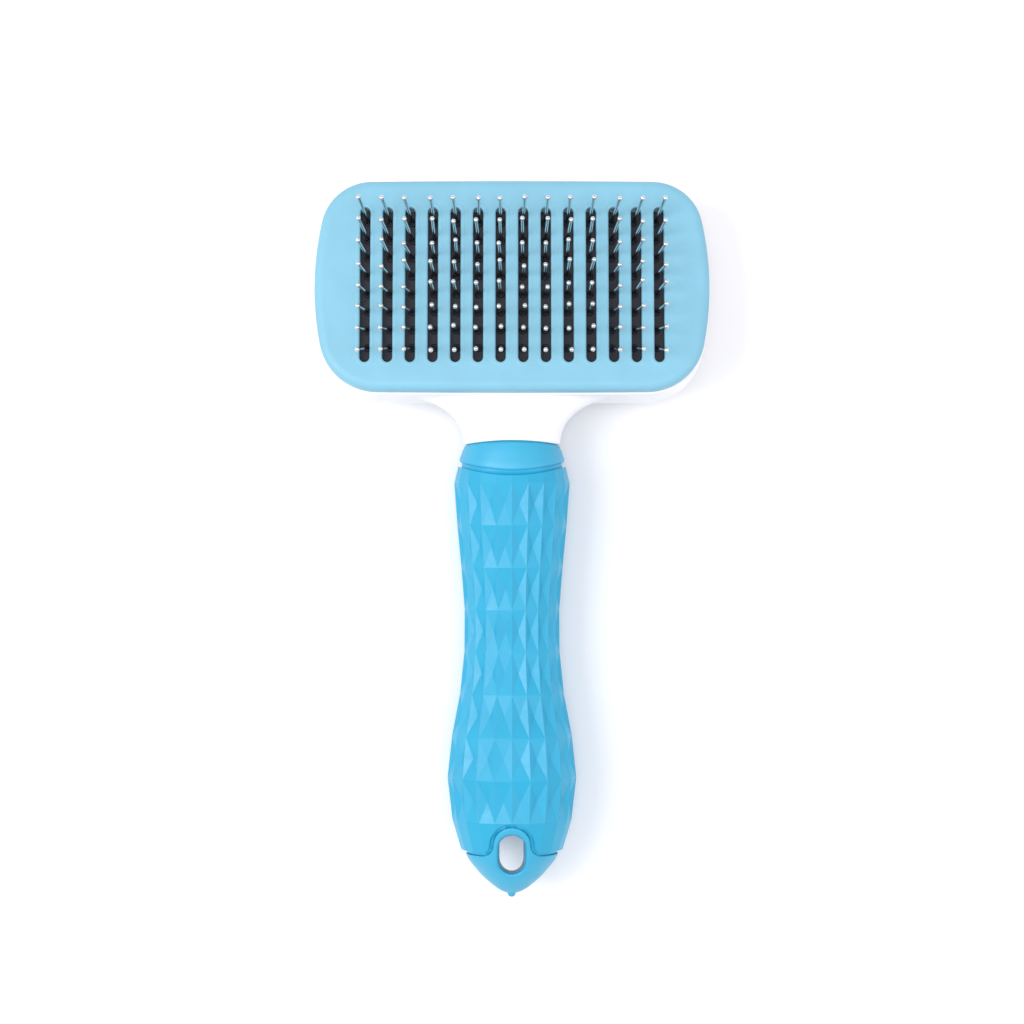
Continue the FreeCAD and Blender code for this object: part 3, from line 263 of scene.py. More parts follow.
class Shell:
    """Collects rings, bands and flat fills into one mesh."""

    def __init__(self):
        self.bm = bmesh.new()

    def ring(self, points):
        return [self.bm.verts.new(point) for point in points]

    def face(self, corners):
        face = self.bm.faces.new(corners)
        face.smooth = True
        return face

    def band(self, low, high):
        count = len(low)
        for index in range(count):
            after = (index + 1) % count
            self.face((low[index], low[after], high[after], high[index]))

    def crease(self, ring):
        """Mark a ring's edges sharp, so that flat and round stretches shade cleanly."""
        for index, vert in enumerate(ring):
            after = ring[(index + 1) % len(ring)]
            edge = self.bm.edges.get((vert, after))
            if edge:
                edge.smooth = False

    def stack(self, rings, creases=()):
        """Bridge rings of points in order and return the rings of vertices."""
        made = [self.ring(points) for points in rings]
        for low, high in zip(made, made[1:]):
            self.band(low, high)
        for index in creases:
            self.crease(made[index])
        return made

    def lid(self, ring, upwards=True):
        """Close a ring with a fan round its middle."""
        middle = sum((vert.co for vert in ring), Vector()) / len(ring)
        centre = self.bm.verts.new(middle)
        for index, vert in enumerate(ring):
            after = ring[(index + 1) % len(ring)]
            self.face((vert, after, centre) if upwards else (after, vert, centre))

    def closed(self, rings, creases=()):
        """Bridge rings of points and close both ends."""
        made = self.stack(rings, creases)
        self.lid(made[0])
        self.lid(made[-1])

    def fill(self, loops, keep):
        """Fill the flat area between loops of vertices. keep says which points lie in it."""
        verts = [vert for loop in loops for vert in loop]
        edges = []
        start = 0
        for loop in loops:
            count = len(loop)
            edges += [(start + index, start + (index + 1) % count) for index in range(count)]
            start += count
        flat = [Vector((vert.co.x, vert.co.y)) for vert in verts]
        out_verts, _, faces, sources, _, _ = geometry.delaunay_2d_cdt(flat, edges, [], 0, 1e-7)
        for face in faces:
            middle = sum((out_verts[index] for index in face), Vector((0, 0))) / len(face)
            if keep(middle.x, middle.y):
                self.face([verts[sources[index][0]] for index in face])

    def finish(self, name, material, body, place=ROW, stands_for=()):
        bmesh.ops.recalc_face_normals(self.bm, faces=self.bm.faces)
        mesh = bpy.data.meshes.new(name)
        self.bm.to_mesh(mesh)
        self.bm.free()
        mesh.transform(Matrix.Scale(MM, 4) @ place)
        return settle(mesh, name, material, body, stands_for)


def settle(mesh, name, material, body, stands_for=()):
    """Put a finished mesh in the scene, on its body."""
    mesh.materials.clear()
    mesh.materials.append(material)
    piece = bpy.data.objects.new(name, mesh)
    bpy.context.scene.collection.objects.link(piece)
    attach(piece, body)
    if stands_for:
        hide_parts(*stands_for)
    return piece


def arc_points(centre, radius, start, end, count):
    """Points and outward directions on an arc, without its last point."""
    found = []
    for index in range(count):
        angle = start + (end - start) * index / count
        out = Vector((math.cos(angle), math.sin(angle)))
        found.append((centre + out * radius, out))
    return found


def corner_centre(radius, way):
    """Centre of a corner arc that touches the bowed side and the bowed end."""
    side = Vector((HALF_WIDTH - SIDE_RADIUS, 0))
    end = Vector((0, way * (HALF_LENGTH - END_RADIUS)))
    side_reach = SIDE_RADIUS - radius
    end_reach = END_RADIUS - radius
    apart = (end - side).length
    step = (end - side) / apart
    reach = (side_reach ** 2 - end_reach ** 2 + apart ** 2) / (2 * apart)
    off = math.sqrt(side_reach ** 2 - reach ** 2)
    across = Vector((-step.y, step.x)) * off
    foot = side + step * reach
    return max((foot + across, foot - across), key=lambda point: point.y * way)


def head_outline():
    """The head's outline as points with outward directions, anticlockwise from the right side."""
    side = Vector((HALF_WIDTH - SIDE_RADIUS, 0))
    end_y = HALF_LENGTH - END_RADIUS
    far = corner_centre(FAR_CORNER, 1)
    near = corner_centre(NEAR_CORNER, -1)
    top = Vector((0, end_y))
    low = Vector((0, -end_y))
    mirror = Vector((-1, 1))

    def turn(start, point):
        return math.atan2(point.y - start.y, point.x - start.x)

    far_side = turn(side, far)
    far_end = turn(top, far)
    near_side = turn(side, near)
    near_end = turn(low, near)
    half = math.pi
    parts = [
        (side, SIDE_RADIUS, near_side, far_side, 26),
        (far, FAR_CORNER, far_side, far_end, 18),
        (top, END_RADIUS, far_end, half - far_end, 36),
        (far * mirror, FAR_CORNER, half - far_end, half - far_side, 18),
        (side * mirror, SIDE_RADIUS, half - far_side, half - near_side, 26),
        (near * mirror, NEAR_CORNER, half - near_side, half - near_end, 20),
        (low, END_RADIUS, -half - near_end, near_end, 36),
        (near, NEAR_CORNER, near_end, near_side, 20),
    ]
    points = []
    for centre, radius, start, end, count in parts:
        points += arc_points(centre, radius, start, end, count)
    return points


OUTLINE = head_outline()


def head_ring(inset, level):
    """The head's outline moved inwards, at a level."""
    return [Vector((*(point - out * inset), level)) for point, out in OUTLINE]


def slot_ring(x, y, half_x, half_y, grow, level, steps=10):
    """A slot with round ends along Y, moved outwards by grow."""
    radius = half_x + grow
    reach = half_y - half_x
    ends = [(Vector((x, y + reach)), 0), (Vector((x, y - reach)), math.pi)]
    points = []
    for centre, start in ends:
        for index in range(steps + 1):
            angle = start + math.pi * index / steps
            out = Vector((math.cos(angle), math.sin(angle))) * radius
            points.append(Vector((*(centre + out), level)))
    return points


def box_ring(half_x, half_y, corner, grow, level, steps=8):
    """A rectangle with round corners, moved outwards by grow."""
    radius = max(corner + grow, 0.05)
    points = []
    for index, (sx, sy) in enumerate(((1, 1), (-1, 1), (-1, -1), (1, -1))):
        centre = Vector((sx * (half_x - corner), sy * (half_y - corner)))
        for step in range(steps + 1):
            angle = index * math.pi / 2 + math.pi / 2 * step / steps
            out = Vector((math.cos(angle), math.sin(angle))) * radius
            points.append(Vector((*(centre + out), level)))
    return points


def round_ring(x, y, radius, level, steps=24):
    around = full_turn(steps)
    return [Vector((x + math.cos(turn) * radius, y + math.sin(turn) * radius, level)) for turn in around]


def inside_slot(x, y, slot_x, grow):
    reach = SLOT_LENGTH / 2 - SLOT_WIDTH / 2
    over = max(abs(y) - reach, 0)
    return math.hypot(x - slot_x, over) < SLOT_WIDTH / 2 + grow


def full_turn(steps):
    return [2 * math.pi * index / steps for index in range(steps)]


def handle_ring(y, half, steps):
    """A ring round the handle's axis, as deep as the handle is for its half width."""
    depth = half * DEPTH_RATIO
    return [Vector((half * math.cos(turn), y, AXIS_Z + depth * math.sin(turn))) for turn in full_turn(steps)]


def quarter(steps):
    return [math.pi / 2 * index / steps for index in range(steps + 1)]


def four(x, y):
    return [(x, y), (-x, y), (x, -y), (-x, -y)]


# Head pieces --------------------------------------------------------------------------------------

SLOT_CENTRES = [SLOT_PITCH * (index - (SLOT_COUNT - 1) / 2) for index in range(SLOT_COUNT)]
LIP_REACH = 1.15
LIP_RISE = 0.05


def make_face_plate():
    shell = Shell()
    rim_across = 2.3
    rim_down = 1.7
    rings = []
    for angle in quarter(8):
        inset = RIM_MARGIN + rim_across * (1 - math.sin(angle))
        rings.append(head_ring(inset, -rim_down * (1 - math.cos(angle))))
    rings += [head_ring(RIM_MARGIN, -3.0), head_ring(RIM_MARGIN, SKIRT_UNDER + 0.3)]
    rings += [head_ring(RIM_MARGIN + 0.1, SKIRT_UNDER + 0.1), head_ring(RIM_MARGIN + 0.3, SKIRT_UNDER)]
    rings += [head_ring(RIM_MARGIN + 1.6, SKIRT_UNDER), head_ring(RIM_MARGIN + 1.7, SKIRT_UNDER + 0.1)]
    rings += [head_ring(RIM_MARGIN + 1.7, PLATE_UNDER - 0.3), head_ring(RIM_MARGIN + 2.0, PLATE_UNDER)]
    frame_rings = shell.stack(rings, creases=(0, 8, 9, 12, 13, 14, 15))
    tops = [frame_rings[0]]
    unders = [frame_rings[-1]]
    half_x = SLOT_WIDTH / 2
    half_y = SLOT_LENGTH / 2
    lip = 0.42
    for x in SLOT_CENTRES:
        rings = [slot_ring(x, 0, half_x, half_y, LIP_REACH, 0)]
        rings.append(slot_ring(x, 0, half_x, half_y, LIP_REACH - 0.14, LIP_RISE))
        for angle in quarter(5):
            grow = lip * (1 - math.sin(angle))
            rings.append(slot_ring(x, 0, half_x, half_y, grow, LIP_RISE - lip * (1 - math.cos(angle))))
        rings.append(slot_ring(x, 0, half_x, half_y, 0, PLATE_UNDER + 0.25))
        rings.append(slot_ring(x, 0, half_x, half_y, 0.25, PLATE_UNDER))
        made = shell.stack(rings, creases=(0, 7, 8, 9))
        tops.append(made[0])
        unders.append(made[-1])

    def clear(grow):
        return lambda x, y: not any(inside_slot(x, y, slot_x, grow) for slot_x in SLOT_CENTRES)

    shell.fill(tops, clear(LIP_REACH))
    shell.fill(unders, clear(0.25))
    for x, y in four(POST_X, POST_Y):
        levels = [(POST_RADIUS + 0.5, PLATE_UNDER + 0.1), (POST_RADIUS, PLATE_UNDER - 0.5)]
        levels += [(POST_RADIUS, YOKE_TOP + 0.2), (POST_RADIUS - 0.2, YOKE_TOP)]
        shell.closed([round_ring(x, y, radius, level) for radius, level in levels])
    return shell.finish("face_plate_looks", PLATE_BLUE, "pusher", HEAD, ["face_plate"])


def neck_wall_y(x):
    """The near wall's outer face at x, in the head frame."""
    return END_RADIUS - HALF_LENGTH - math.sqrt(END_RADIUS ** 2 - x * x)


def arch(x, half_chord, rise):
    """Height of a shallow arc over its chord."""
    share = min(abs(x) / half_chord, 1.0)
    return rise * (1 - share * share)


def signed_power(value, power):
    return math.copysign(abs(value) ** power, value)


def add_neck(shell):
    """The neck, in the row frame: it leaves the collar straight and lands flat on the housing's wall."""
    steps = 18
    around = 112
    middle = -10.6
    half_z = 5.1
    lines = []
    for index in range(around):
        turn = 2 * math.pi * index / around
        c, s = math.cos(turn), math.sin(turn)
        x0 = COLLAR_HALF_WIDTH * c
        start_y = COLLAR_TOP_Y + NECK_GAP + arch(x0, COLLAR_HALF_WIDTH, COLLAR_TOP_ARCH)
        start = Vector((x0, start_y, AXIS_Z + COLLAR_HALF_WIDTH * DEPTH_RATIO * s))
        x3 = NECK_ROOT * signed_power(c, 0.5)
        z3 = middle + half_z * signed_power(s, 0.5)
        end = HEAD @ Vector((x3, neck_wall_y(x3) + 0.03, z3))
        out = Vector((x3 / NECK_ROOT, -0.05 * abs(c), (z3 - middle) / half_z))
        out = (HEAD.to_3x3() @ out).normalized()
        low_reach = 5.0 if s < 0 else 1.2
        end_reach = 13.5 * abs(c) + low_reach * (1 - abs(c))
        start_reach = 5.9 * abs(c) + 4.0 * (1 - abs(c))
        leave = start + Vector((0, start_reach, 0))
        curve = geometry.interpolate_bezier(start, leave, end - out * end_reach, end, steps)
        outward = Vector((c, 0, s))
        lip = [start - outward * 1.4, start - outward * 0.35, start - outward * 0.1 + Vector((0, 0.1, 0))]
        lines.append(lip + [curve[0] + Vector((0, NECK_GAP, 0))] + curve[1:])
    rings = [[line[step] for line in lines] for step in range(len(lines[0]))]
    inverse = HEAD.inverted()
    made = shell.stack([[inverse @ point for point in ring] for ring in rings])
    shell.lid(made[0])
    return made


def make_housing():
    shell = Shell()
    rings = [head_ring(WALL, DECK_TOP), head_ring(WALL, RIM_TOP - 0.25), head_ring(WALL - 0.2, RIM_TOP)]
    rings += [head_ring(0.7, RIM_TOP)]
    for angle in quarter(4):
        rings.append(head_ring(0.55 * (1 - math.sin(angle)), RIM_TOP - 0.55 * (1 - math.cos(angle))))
    rings += [head_ring(0, PARTING + 0.35), head_ring(0.25, PARTING + 0.05), head_ring(WALL, PARTING)]
    rings += [head_ring(WALL, DECK_UNDER)]
    made = shell.stack(rings, creases=(0, 1, 2, 4, 8, 9, 10, 11))
    tops = [made[0]]
    unders = [made[-1]]
    for x, y in four(POST_X, POST_Y):
        guide = [round_ring(x, y, POST_RADIUS + 0.1, level) for level in (DECK_TOP, DECK_UNDER)]
        pair = shell.stack(guide, creases=(0, 1))
        tops.append(pair[0])
        unders.append(pair[1])

    def clear(x, y):
        return all(math.hypot(x - px, y - py) > POST_RADIUS + 0.05 for px, py in four(POST_X, POST_Y))

    shell.fill(tops, clear)
    shell.fill(unders, clear)
    for x, y in four(COVER_SCREW_X, COVER_SCREW_Y):
        boss = [round_ring(x, y, BOSS_RADIUS, level) for level in (DECK_UNDER + 0.1, COVER_INNER)]
        shell.closed(boss, creases=(1,))
    add_neck(shell)
    return shell.finish("head_housing_looks", WHITE, "brush", HEAD, ["head_housing"])


def make_tang():
    """The tang inside the grip, in one piece with the housing."""
    shell = Shell()
    rings = []
    for y in (COLLAR_TOP_Y + 1.2, TANG_END_Y):
        ring = box_ring(TANG_HALF_WIDTH, TANG_HALF_DEPTH, 0.8, 0, 0, steps=3)
        rings.append([Vector((point.x, y, AXIS_Z + point.y)) for point in ring])
    shell.closed(rings, creases=(0, 1))
    return shell.finish("tang_looks", WHITE, "brush")


def make_rear_cover():
    shell = Shell()
    radius = 3.5
    rings = [head_ring(WALL, COVER_INNER), head_ring(WALL, PARTING), head_ring(0.25, PARTING - 0.05)]
    rings += [head_ring(0, PARTING - 0.35)]
    for angle in quarter(8):
        rings.append(head_ring(radius * (1 - math.cos(angle)), COVER_OUTER + radius * (1 - math.sin(angle))))
    made = shell.stack(rings, creases=(0, 1, 2, 3, 12))
    insides = [made[0]]
    backs = [made[-1]]
    half_x = BUTTON_HALF_X + BUTTON_GAP
    half_y = BUTTON_HALF_Y + BUTTON_GAP
    corner = BUTTON_CORNER + BUTTON_GAP
    bezel_reach = 2.6
    sink_reach = 2.5
    bezel = [(bezel_reach, 0), (2.3, -0.1), (2.1, -0.4), (0.8, -0.4), (0.35, -0.28), (0.1, 0), (0, 0.4)]
    rings = [box_ring(half_x, half_y, corner, grow, COVER_OUTER + rise) for grow, rise in bezel]
    rings.append(box_ring(half_x, half_y, corner, 0, COVER_INNER))
    hole = shell.stack(rings, creases=(0, 2, 3, 6, 7))
    backs.append(hole[0])
    insides.append(hole[-1])
    for x, y in four(COVER_SCREW_X, COVER_SCREW_Y):
        sink = [(sink_reach, COVER_OUTER), (sink_reach - 0.25, COVER_OUTER + 0.25)]
        sink += [(SUNK_RADIUS, COVER_OUTER + SUNK_DEPTH), (HOLE_RADIUS, COVER_OUTER + SUNK_DEPTH)]
        sink.append((HOLE_RADIUS, COVER_INNER))
        made = shell.stack([round_ring(x, y, r, level) for r, level in sink], creases=(0, 1, 2, 3, 4))
        backs.append(made[0])
        insides.append(made[-1])

    def clear(box_grow, hole_radius):
        def keep(x, y):
            in_box = abs(x) < half_x + box_grow - 0.01 and abs(y) < half_y + box_grow - 0.01
            if in_box:
                over_x = abs(x) - (half_x - corner)
                over_y = abs(y) - (half_y - corner)
                if over_x <= 0 or over_y <= 0 or math.hypot(over_x, over_y) < corner + box_grow:
                    return False
            near = four(COVER_SCREW_X, COVER_SCREW_Y)
            return all(math.hypot(x - px, y - py) > hole_radius for px, py in near)
        return keep

    shell.fill(backs, clear(bezel_reach, sink_reach - 0.05))
    shell.fill(insides, clear(0, HOLE_RADIUS - 0.05))
    return shell.finish("rear_cover_looks", WHITE, "brush", HEAD, ["rear_cover"])


def make_button():
    shell = Shell()
    half_x, half_y, corner = BUTTON_HALF_X, BUTTON_HALF_Y, BUTTON_CORNER
    edge = 2.0
    walls = [(-BUTTON_WALL, BUTTON_FLOOR), (-BUTTON_WALL, YOKE_UNDER)]
    walls += [(-0.2, YOKE_UNDER), (0, YOKE_UNDER - 0.2)]
    rings = [box_ring(half_x, half_y, corner, grow, level) for grow, level in walls]
    for angle in quarter(7):
        inset = edge * (1 - math.cos(angle))
        rings.append(box_ring(half_x, half_y, corner, -inset, BUTTON_FACE + edge * (1 - math.sin(angle))))
    dish = [(2.6, 0), (3.1, 0.06), (4.0, 0.28), (5.2, 0.5), (7.0, 0.72), (8.6, 0.82), (10.0, 0.86)]
    for inset, rise in dish:
        share = (half_x - inset) / half_x, (half_y - min(inset, 10.4)) / half_y
        ring = box_ring(half_x, half_y, corner, -edge, BUTTON_FACE + rise)
        scale_x = share[0] / ((half_x - edge) / half_x)
        scale_y = share[1] / ((half_y - edge) / half_y)
        rings.append([Vector((p.x * scale_x, p.y * scale_y, p.z)) for p in ring])
    shell.closed(rings, creases=(0, 1, 2))
    return shell.finish("push_button_looks", BUTTON_BLUE, "pusher", HEAD, ["push_button"])


def add_bar(shell, x, y, half_x, half_y, low, high):
    """A low raised rib with round ends."""
    levels = [(0, low), (0, high - 0.25 * (high - low)), (-0.12, high - 0.08 * (high - low)), (-0.3, high)]
    rings = []
    for grow, level in levels:
        ring = slot_ring(0, 0, half_y, half_x, grow, level, steps=6)
        rings.append([Vector((x + p.y, y + p.x, p.z)) for p in ring])
    shell.closed(rings)


def make_button_ribs():
    """Thumb ribs moulded on the button's dished face."""
    shell = Shell()
    for index in range(5):
        y = (index - 2) * 2.6
        half_x = 7.5 - 0.55 * (index - 2) ** 2
        add_bar(shell, 0, y, half_x, 0.55, BUTTON_FACE + 1.1, BUTTON_FACE + 0.25)
    return shell.finish("button_ribs_looks", BUTTON_BLUE, "pusher", HEAD)


def pin_feet():
    for column in range(SLOT_COUNT):
        for row in range(PIN_ROWS):
            x = FOOT_PITCH * (column - (SLOT_COUNT - 1) / 2)
            y = ROW_SHIFT + ROW_PITCH * (row - (PIN_ROWS - 1) / 2)
            yield column, row, x, y


def make_pin_base():
    shell = Shell()
    rings = []
    for grow, level in ((-0.15, BASE_UNDER), (0, BASE_UNDER + 0.15), (0, BASE_TOP - 0.2), (-0.2, BASE_TOP)):
        rings.append(box_ring(BASE_HALF_X, BASE_HALF_Y, 1.0, grow, level, steps=4))
    shell.closed(rings, creases=(0, 1, 2, 3))
    boss = [(1.2, -0.1), (1.15, 0.02), (0.95, 0.3), (0.82, 0.38), (0.68, 0.36), (0.5, 0.12), (0.4, -0.15)]
    for _, _, x, y in pin_feet():
        shell.closed([round_ring(x, y, radius, BASE_TOP + level, 16) for radius, level in boss])
    return shell.finish("pin_base_looks", BLACK, "brush", HEAD, ["pin_base"])


def unevenness(column, row, seed):
    """The same fixed, uneven number for each pin as in the CAD part."""
    swing = math.sin(12.9898 * (column + 1) + 78.233 * (row + 1) + 37.719 * seed) * 43758.5453
    return 2 * (swing - math.floor(swing)) - 1


def pin_tip(column, row):
    across = (column - (SLOT_COUNT - 1) / 2) / ((SLOT_COUNT - 1) / 2)
    reach = (row - (PIN_ROWS - 1) / 2) / ((PIN_ROWS - 1) / 2)
    outer = 1 if abs(across) > FULL_LEAN_FROM else abs(across) * MIDDLE_LEAN
    foot_y = ROW_SHIFT + ROW_PITCH * (row - (PIN_ROWS - 1) / 2)
    x = SLOT_CENTRES[column] + math.copysign(SIDE_LEAN * outer, across)
    x += (SIDE_UNEVENNESS - OUTER_STEADINESS * outer) * unevenness(column, row, 1)
    y = foot_y + END_LEAN * signed_power(reach, END_LEAN_POWER)
    y += (END_UNEVENNESS + MIDDLE_UNEVENNESS * (1 - abs(reach))) * unevenness(column, row, 2)
    return Vector((x, y, PIN_REACH))


def add_pin(shell, foot, tip):
    """A wire with a ball on its tip, round about its own axis."""
    axis = (tip - foot).normalized()
    side = axis.cross(Vector((0, 1, 0))).normalized()
    other = axis.cross(side)
    steps = 16
    profile = [(PIN_RADIUS, foot), (PIN_RADIUS, foot + (tip - foot) * 0.5)]
    join = math.sqrt(BALL_RADIUS ** 2 - PIN_RADIUS ** 2)
    profile.append((PIN_RADIUS, tip - axis * (join + 0.22)))
    profile.append((PIN_RADIUS + 0.03, tip - axis * (join + 0.03)))
    low = math.asin(-join / BALL_RADIUS)
    for index in range(1, 11):
        angle = low + (math.pi / 2 - low) * index / 11
        profile.append((BALL_RADIUS * math.cos(angle), tip + axis * BALL_RADIUS * math.sin(angle)))
    rings = []
    for radius, centre in profile:
        around = full_turn(steps)
        rings.append([centre + side * math.cos(t) * radius + other * math.sin(t) * radius for t in around])
    made = shell.stack(rings)
    top = shell.bm.verts.new(tip + axis * BALL_RADIUS)
    last = made[-1]
    for index, vert in enumerate(last):
        shell.face((vert, last[(index + 1) % steps], top))
    shell.lid(made[0])


def make_pins():
    for column in range(SLOT_COUNT):
        shell = Shell()
        for pin_column, row, x, y in pin_feet():
            if pin_column == column:
                foot = Vector((x, y, BASE_TOP))
                tip = pin_tip(column, row)
                sunk = foot - (tip - foot) * (0.4 / (tip - foot).length)
                add_pin(shell, sunk, tip)
        name = f"pin_column_{column + 1:02d}"
        shell.finish(f"{name}_looks", CHROME, "brush", HEAD, [name])


def make_springs():
    seat = SPRING_WIRE + 0.05
    low = BUTTON_FLOOR + seat
    high = DECK_UNDER - seat
    steps = SPRING_TURNS * 28
    sides = 10
    for name, x in (("left", -SPRING_X), ("right", SPRING_X)):
        shell = Shell()
        rings = []
        for index in range(steps + 1):
            turn = 2 * math.pi * SPRING_TURNS * index / steps
            out = Vector((math.cos(turn), math.sin(turn), 0))
            centre = Vector((x, 0, low + (high - low) * index / steps)) + out * SPRING_COIL
            section = [(math.cos(a) * SPRING_WIRE, math.sin(a) * SPRING_WIRE) for a in full_turn(sides)]
            rings.append([centre + out * away + Vector((0, 0, rise)) for away, rise in section])
        shell.closed(rings)
        node = f"return_spring_{name}"
        spring = shell.finish(f"{node}_looks", SPRING_STEEL, "brush", HEAD, [node])
        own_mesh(spring)


# Handle pieces ------------------------------------------------------------------------------------

def make_collar():
    """A sleeve with arched edges. Its sides flare towards the grip, and its lips are rounded."""
    shell = Shell()
    around = 144
    profile = [(2.6, 0, 0.3), (1.5, 0, 0.12), (0.9, 0, 0.12), (0.45, 0, 0.2), (0.15, 0, 0.42), (0.03, 0, 0.7)]
    profile += [(0, 0, 1.0), (0, 0.3, 0.4), (0, 0.6, 0), (0, 0.8, -0.2), (0, 1, -0.75), (0.06, 1, -0.42)]
    profile += [(0.2, 1, -0.18), (0.42, 1, -0.04), (0.7, 1, 0), (0.8, 1, 0.3), (3.2, 1, 0.3)]
    made = []
    for inset, share, shift in profile:
        ring = []
        half = COLLAR_HALF_WIDTH + COLLAR_FLARE * (1 - share) ** 0.8
        for index in range(around):
            turn = 2 * math.pi * index / around
            x = (half - inset) * math.cos(turn)
            low = COLLAR_LOW_Y - arch(x, COLLAR_HALF_WIDTH + COLLAR_FLARE, COLLAR_LOW_ARCH)
            high = COLLAR_TOP_Y + arch(x, COLLAR_HALF_WIDTH, COLLAR_TOP_ARCH)
            z = AXIS_Z + (half * DEPTH_RATIO - inset) * math.sin(turn)
            ring.append(Vector((x, low + (high - low) * share + shift, z)))
        made.append(shell.ring(ring))
    for low, high in zip(made, made[1:] + [made[0]]):
        shell.band(low, high)
    shell.crease(made[0])
    shell.crease(made[-1])
    return shell.finish("collar_looks", HANDLE_BLUE, "brush", ROW, ["collar"])


def mesh_piece(shell, name):
    """A plain object from a shell, in millimetres, for the boolean steps."""
    bmesh.ops.recalc_face_normals(shell.bm, faces=shell.bm.faces)
    mesh = bpy.data.meshes.new(name)
    shell.bm.to_mesh(mesh)
    shell.bm.free()
    piece = bpy.data.objects.new(name, mesh)
    bpy.context.scene.collection.objects.link(piece)
    return piece


def combine(piece, operation, tool):
    """Apply one exact boolean and drop the tool."""
    modifier = piece.modifiers.new("combine", "BOOLEAN")
    modifier.operation = operation
    modifier.object = tool
    modifier.solver = "EXACT"
    bake(piece)
    bpy.data.objects.remove(tool)


def bake(piece):
    """Turn a piece's modifiers into its mesh."""
    depsgraph = bpy.context.evaluated_depsgraph_get()
    depsgraph.update()
    mesh = bpy.data.meshes.new_from_object(piece.evaluated_get(depsgraph))
    piece.modifiers.clear()
    piece.data = mesh


def prism(points, low, high):
    """A closed block over a flat outline."""
    shell = Shell()
    made = shell.stack([[Vector((x, y, level)) for x, y in points] for level in (low, high)])
    shell.bm.faces.new(made[0])
    shell.bm.faces.new(made[1])
    return mesh_piece(shell, "tool")


def arc_line(centre, radius, start, end, steps):
    found = []
    for index in range(steps + 1):
        angle = math.radians(start + (end - start) * index / steps)
        found.append((centre[0] + radius * math.cos(angle), centre[1] + radius * math.sin(angle)))
    return found


def cap_region(grow):
    """The plan outline of everything on the tip's side of the cap's seam, moved out by grow."""
    centre_y = CAP_SEAM_Y + TONGUE_RISE
    half = TONGUE_HALF_WIDTH + grow
    fillet = TONGUE_RISE - grow
    outer = TONGUE_HALF_WIDTH + TONGUE_RISE
    points = [(-60, CAP_SEAM_Y + grow)]
    points += arc_line((-outer, centre_y), fillet, -90, 0, 10)
    points += arc_line((0, centre_y), half, 180, 0, 28)[1:-1]
    points += arc_line((outer, centre_y), fillet, 180, 270, 10)
    points += [(60, CAP_SEAM_Y + grow), (60, TIP_Y - 20), (-60, TIP_Y - 20)]
    return points


def collar_region(drop):
    """The plan outline of everything on the head's side of the collar's lower edge, moved down by drop."""
    chord = COLLAR_HALF_WIDTH + COLLAR_FLARE
    points = [(-60, COLLAR_LOW_Y - drop)]
    for index in range(33):
        x = chord * (2 * index / 32 - 1)
        points.append((x, COLLAR_LOW_Y - arch(x, chord, COLLAR_LOW_ARCH) - drop))
    points += [(60, COLLAR_LOW_Y - drop), (60, COLLAR_LOW_Y + 40), (-60, COLLAR_LOW_Y + 40)]
    return points


def soften(piece, width, segments, degrees):
    """Round every edge sharper than an angle."""
    modifier = piece.modifiers.new("soften", "BEVEL")
    modifier.width = width
    modifier.segments = segments
    modifier.limit_method = "ANGLE"
    modifier.angle_limit = math.radians(degrees)
    modifier.use_clamp_overlap = True
    modifier.miter_outer = "MITER_ARC"
    bake(piece)


def join_into(piece, other):
    """Add another object's mesh to a piece's mesh."""
    merged = bmesh.new()
    merged.from_mesh(piece.data)
    merged.from_mesh(other.data)
    mesh = bpy.data.meshes.new(piece.name)
    merged.to_mesh(mesh)
    merged.free()
    piece.data = mesh
    bpy.data.objects.remove(other)


RING_GAP = (FIRST_RING_Y - LAST_RING_Y) / (len(RING_HALF_WIDTHS) - 1)
GRIP_RINGS = [(COLLAR_LOW_Y + 3.0, GRIP_START_HALF_WIDTH)]
GRIP_RINGS += [(FIRST_RING_Y - index * RING_GAP, half) for index, half in enumerate(RING_HALF_WIDTHS)]
GRIP_RINGS += [(CAP_SEAM_Y - 3.0, GRIP_END_HALF_WIDTH)]


def grip_point(y, half, index):
    """A ridge corner of the grip: the first ridge is in the middle of the front."""
    turn = math.pi / 2 + index * 2 * math.pi / RIDGE_COUNT
    x = half / math.cos(math.pi / RIDGE_COUNT) * math.cos(turn)
    return Vector((x, y, AXIS_Z + half * DEPTH_RATIO * math.sin(turn)))


